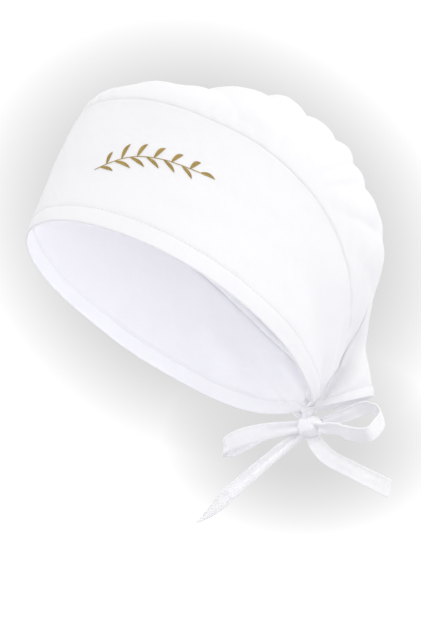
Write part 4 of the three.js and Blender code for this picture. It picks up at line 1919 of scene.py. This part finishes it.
@dataclass
class Studio:
    """The pale floor, the soft light and the camera at the photograph's viewing angle."""

    azimuth: float = 70.0
    elevation: float = -15.7
    distance: float = 1.2
    lens: float = 111.18
    sensor: float = 36.0
    aim: tuple[float, float] = (0.0283, 0.0031)
    # Painted shadow: these pools grey the backdrop right behind the cap and the bow, as a halo of shade
    # round them.
    shadow_pools: tuple[Pool, ...] = (
        Pool(0.0311, 0.0496, 5.9, 4.9, 30.0, 1.27, 0.82),
        Pool(0.0865, -0.0736, 3.1, 2.1, 0.0, 1.35, 0.4),
    )
    # How grey the painted shadow pools make the backdrop.
    shadow_pool_grey: float = 0.70
    glow: Pool = Pool(0.03, 0.05, 40.0, 40.0, 0.0, 1.0, 0.5)
    glow_edges: tuple[float, float] = (0.01, 0.1)
    horizon: float = 0.68
    sky: float = 0.99
    sky_edges: tuple[float, float] = (-0.02, 0.42)
    white: float = 1.02
    lamps: tuple[Lamp, ...] = (
        Lamp("key_lamp", 98.0, 24.0, 2.0, 1.5, 6.8, (1.0, 0.99, 0.94)),
        Lamp("low_lamp", 142.0, -14.0, 1.8, 1.0, 5.2, (0.98, 0.98, 1.0)),
        Lamp("fill_lamp", 25.0, -18.0, 1.8, 1.0, 2.8, (0.98, 0.98, 1.0)),
    )
    hollow_place: tuple[float, float, float] = (0.017, -0.006, 0.01)
    hollow_radius: float = 0.03
    hollow_power: float = 0.108
    hollow_colour: tuple[float, float, float] = (0.97, 0.965, 1.0)
    floor_drop: float = -1.1
    floor_radius: float = 15.0
    floor_colour: tuple[float, float, float] = (0.64, 0.64, 0.67)
    floor_cloud: float = 0.985

    def toward(self, azimuth: float, elevation: float) -> Vector:
        """The direction of an azimuth and an elevation, seen from the cap."""
        az, el = math.radians(azimuth), math.radians(elevation)
        return Vector((math.sin(az) * math.cos(el), -math.cos(az) * math.cos(el), math.sin(el)))

    @property
    def right(self) -> Vector:
        """The level direction that the photograph sees as right."""
        az = math.radians(self.azimuth)
        return Vector((math.cos(az), math.sin(az), 0.0))

    def spot(self, aside: float, above: float) -> Vector:
        """A point beside and above the middle of the head opening as the photograph sees it."""
        back = self.toward(self.azimuth, self.elevation)
        return self.right * aside + back.cross(self.right) * above

    def camera(self) -> None:
        """Sets the camera where the photograph's was."""
        data = bpy.data.cameras.new("photo_camera")
        data.lens = self.lens
        data.sensor_width = self.sensor
        camera = bpy.data.objects.new("photo_camera", data)
        camera.location = self.toward(self.azimuth, self.elevation) * self.distance
        camera.rotation_euler = (self.spot(*self.aim) - camera.location).to_track_quat("-Z", "Y").to_euler()
        bpy.context.scene.collection.objects.link(camera)
        bpy.context.scene.camera = camera

    def floor(self) -> None:
        """Lays the pale floor well below the cap."""
        bpy.ops.mesh.primitive_circle_add(
            vertices=96, radius=self.floor_radius, fill_type="NGON", location=(0, 0, self.floor_drop)
        )
        floor = bpy.context.active_object
        floor.name = "studio_floor"
        shader = Shader("studio_floor")
        place = shader.node("ShaderNodeTexCoord", output="Object")
        cloudy = shader.noise(place, 1.5).within(0.2, 0.8)
        darker = [self.floor_cloud * value for value in self.floor_colour]
        shader.set("Base Color", shader.blend(cloudy, darker, self.floor_colour))
        shader.set("Roughness", 0.9)
        floor.data.materials.append(shader.material)

    def glow_lamp(self) -> None:
        """Hangs a small soft lamp inside the cap, for the light that thin white cotton lets through."""
        data = bpy.data.lights.new("hollow_lamp", "POINT")
        data.shadow_soft_size = self.hollow_radius
        data.energy = self.hollow_power
        data.color = self.hollow_colour
        lamp = bpy.data.objects.new("hollow_lamp", data)
        lamp.visible_camera = False
        lamp.location = self.hollow_place
        bpy.context.scene.collection.objects.link(lamp)

    def square_lamp(self, lamp: Lamp) -> None:
        """Sets up a soft square lamp that faces the cap.

        Args:
            lamp: Its place, size, power and colour.
        """
        data = bpy.data.lights.new(lamp.name, "AREA")
        data.size = lamp.size
        data.energy = lamp.power
        data.color = lamp.colour
        piece = bpy.data.objects.new(lamp.name, data)
        piece.visible_camera = False
        piece.location = self.toward(lamp.azimuth, lamp.elevation) * lamp.away
        piece.rotation_euler = (-piece.location).to_track_quat("-Z", "Y").to_euler()
        bpy.context.scene.collection.objects.link(piece)

    def oval(self, tree: bpy.types.NodeTree, toward: Field, pool: Pool) -> Field:
        """How full a pool is in each direction.

        Args:
            tree: The world's node tree.
            toward: The direction.
            pool: The pool.

        Returns:
            1 inside the pool and 0 outside it.
        """
        back = self.toward(self.azimuth, self.elevation)
        middle = (self.spot(pool.aside, pool.above) - back * self.distance).normalized()
        right = (self.right - middle * middle.dot(self.right)).normalized()
        up = right.cross(middle)
        c, s = math.cos(math.radians(pool.lean)), math.sin(math.radians(pool.lean))
        axes = (
            (right * c - up * s) / math.sin(math.radians(pool.wide)),
            (right * s + up * c) / math.sin(math.radians(pool.tall)),
            middle,
        )
        dot = {"operation": "DOT_PRODUCT"}
        x, y, ahead = (
            add_node(tree, "ShaderNodeVectorMath", dot, (toward, tuple(axis)), "Value") for axis in axes
        )
        return (x * x + y * y).within(pool.ends**2, pool.full**2) * ahead.within(0.0, 0.1)

    def world(self) -> None:
        """Surrounds the cap with pale light, grey at the horizon, with soft grey pools of painted shadow on
        the backdrop behind cap and bow.
        """
        world = bpy.data.worlds.new("studio")
        world.use_nodes = True
        bpy.context.scene.world = world
        tree = world.node_tree
        toward = add_node(tree, "ShaderNodeTexCoord", output="Generated")
        height = add_node(tree, "ShaderNodeSeparateXYZ", values=(toward,), output="Z")
        body, bow = (self.oval(tree, toward, pool) for pool in self.shadow_pools)
        # Painted shadow: the backdrop is greyed in the pools behind the cap and the bow.
        pool = body + bow - body * bow
        glow = self.oval(tree, toward, self.glow) * height.within(*self.glow_edges)
        around = height.within(*self.sky_edges) * (self.sky - self.horizon) + self.horizon
        strength = around * (1 - glow) + glow * self.white - pool * (self.white - self.shadow_pool_grey)
        background = tree.nodes["Background"]
        background.inputs["Color"].default_value = (1.0, 1.0, 1.0, 1.0)
        tree.links.new(strength.socket, background.inputs["Strength"])

    def build(self) -> None:
        """Sets the whole stage."""
        self.camera()
        self.world()
        self.floor()
        for lamp in self.lamps:
            self.square_lamp(lamp)
        self.glow_lamp()
        bpy.context.scene.view_settings.view_transform = "Standard"


def main() -> None:
    """Builds the stage and the pieces."""
    logging.basicConfig(level=logging.INFO, format="%(name)s: %(message)s")
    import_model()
    bpy.ops.object.select_all(action="DESELECT")
    Studio().build()
    cap = DressedCap()
    grain = Grain()

    band = Band(cap)
    crown = Crown(cap)
    band_cloth = dress(band.build(), Finish.BAND, ["band"])
    crown_cloth = dress(crown.build(), Finish.CROWN, ["crown"])
    seams = StitchLines(band, crown, grain).build()
    outside, inside, pouch = (dress(piece, Finish.SEWING) for piece in seams)
    sprig = dress(Sprig(cap, grain).build(), Finish.GOLD)

    knot = Knot(cap.shape)
    dress(knot.build(), Finish.TIE, ["tie_knot"])
    for tie in bow_ties():
        cloth = dress(tie.build(knot), Finish.TIE, [tie.name])
        line = tie.edge_stitches(knot)
        thread = grain.lay(f"{tie.name}_stitches", *line, tie.stitch_radius, tie.stitch_bow)
        stitches = dress(thread, Finish.SEWING)
        length = max(tie.length(knot), LEAST_SIDE)
        tie.width * MM


if __name__ == "__main__":
    main()
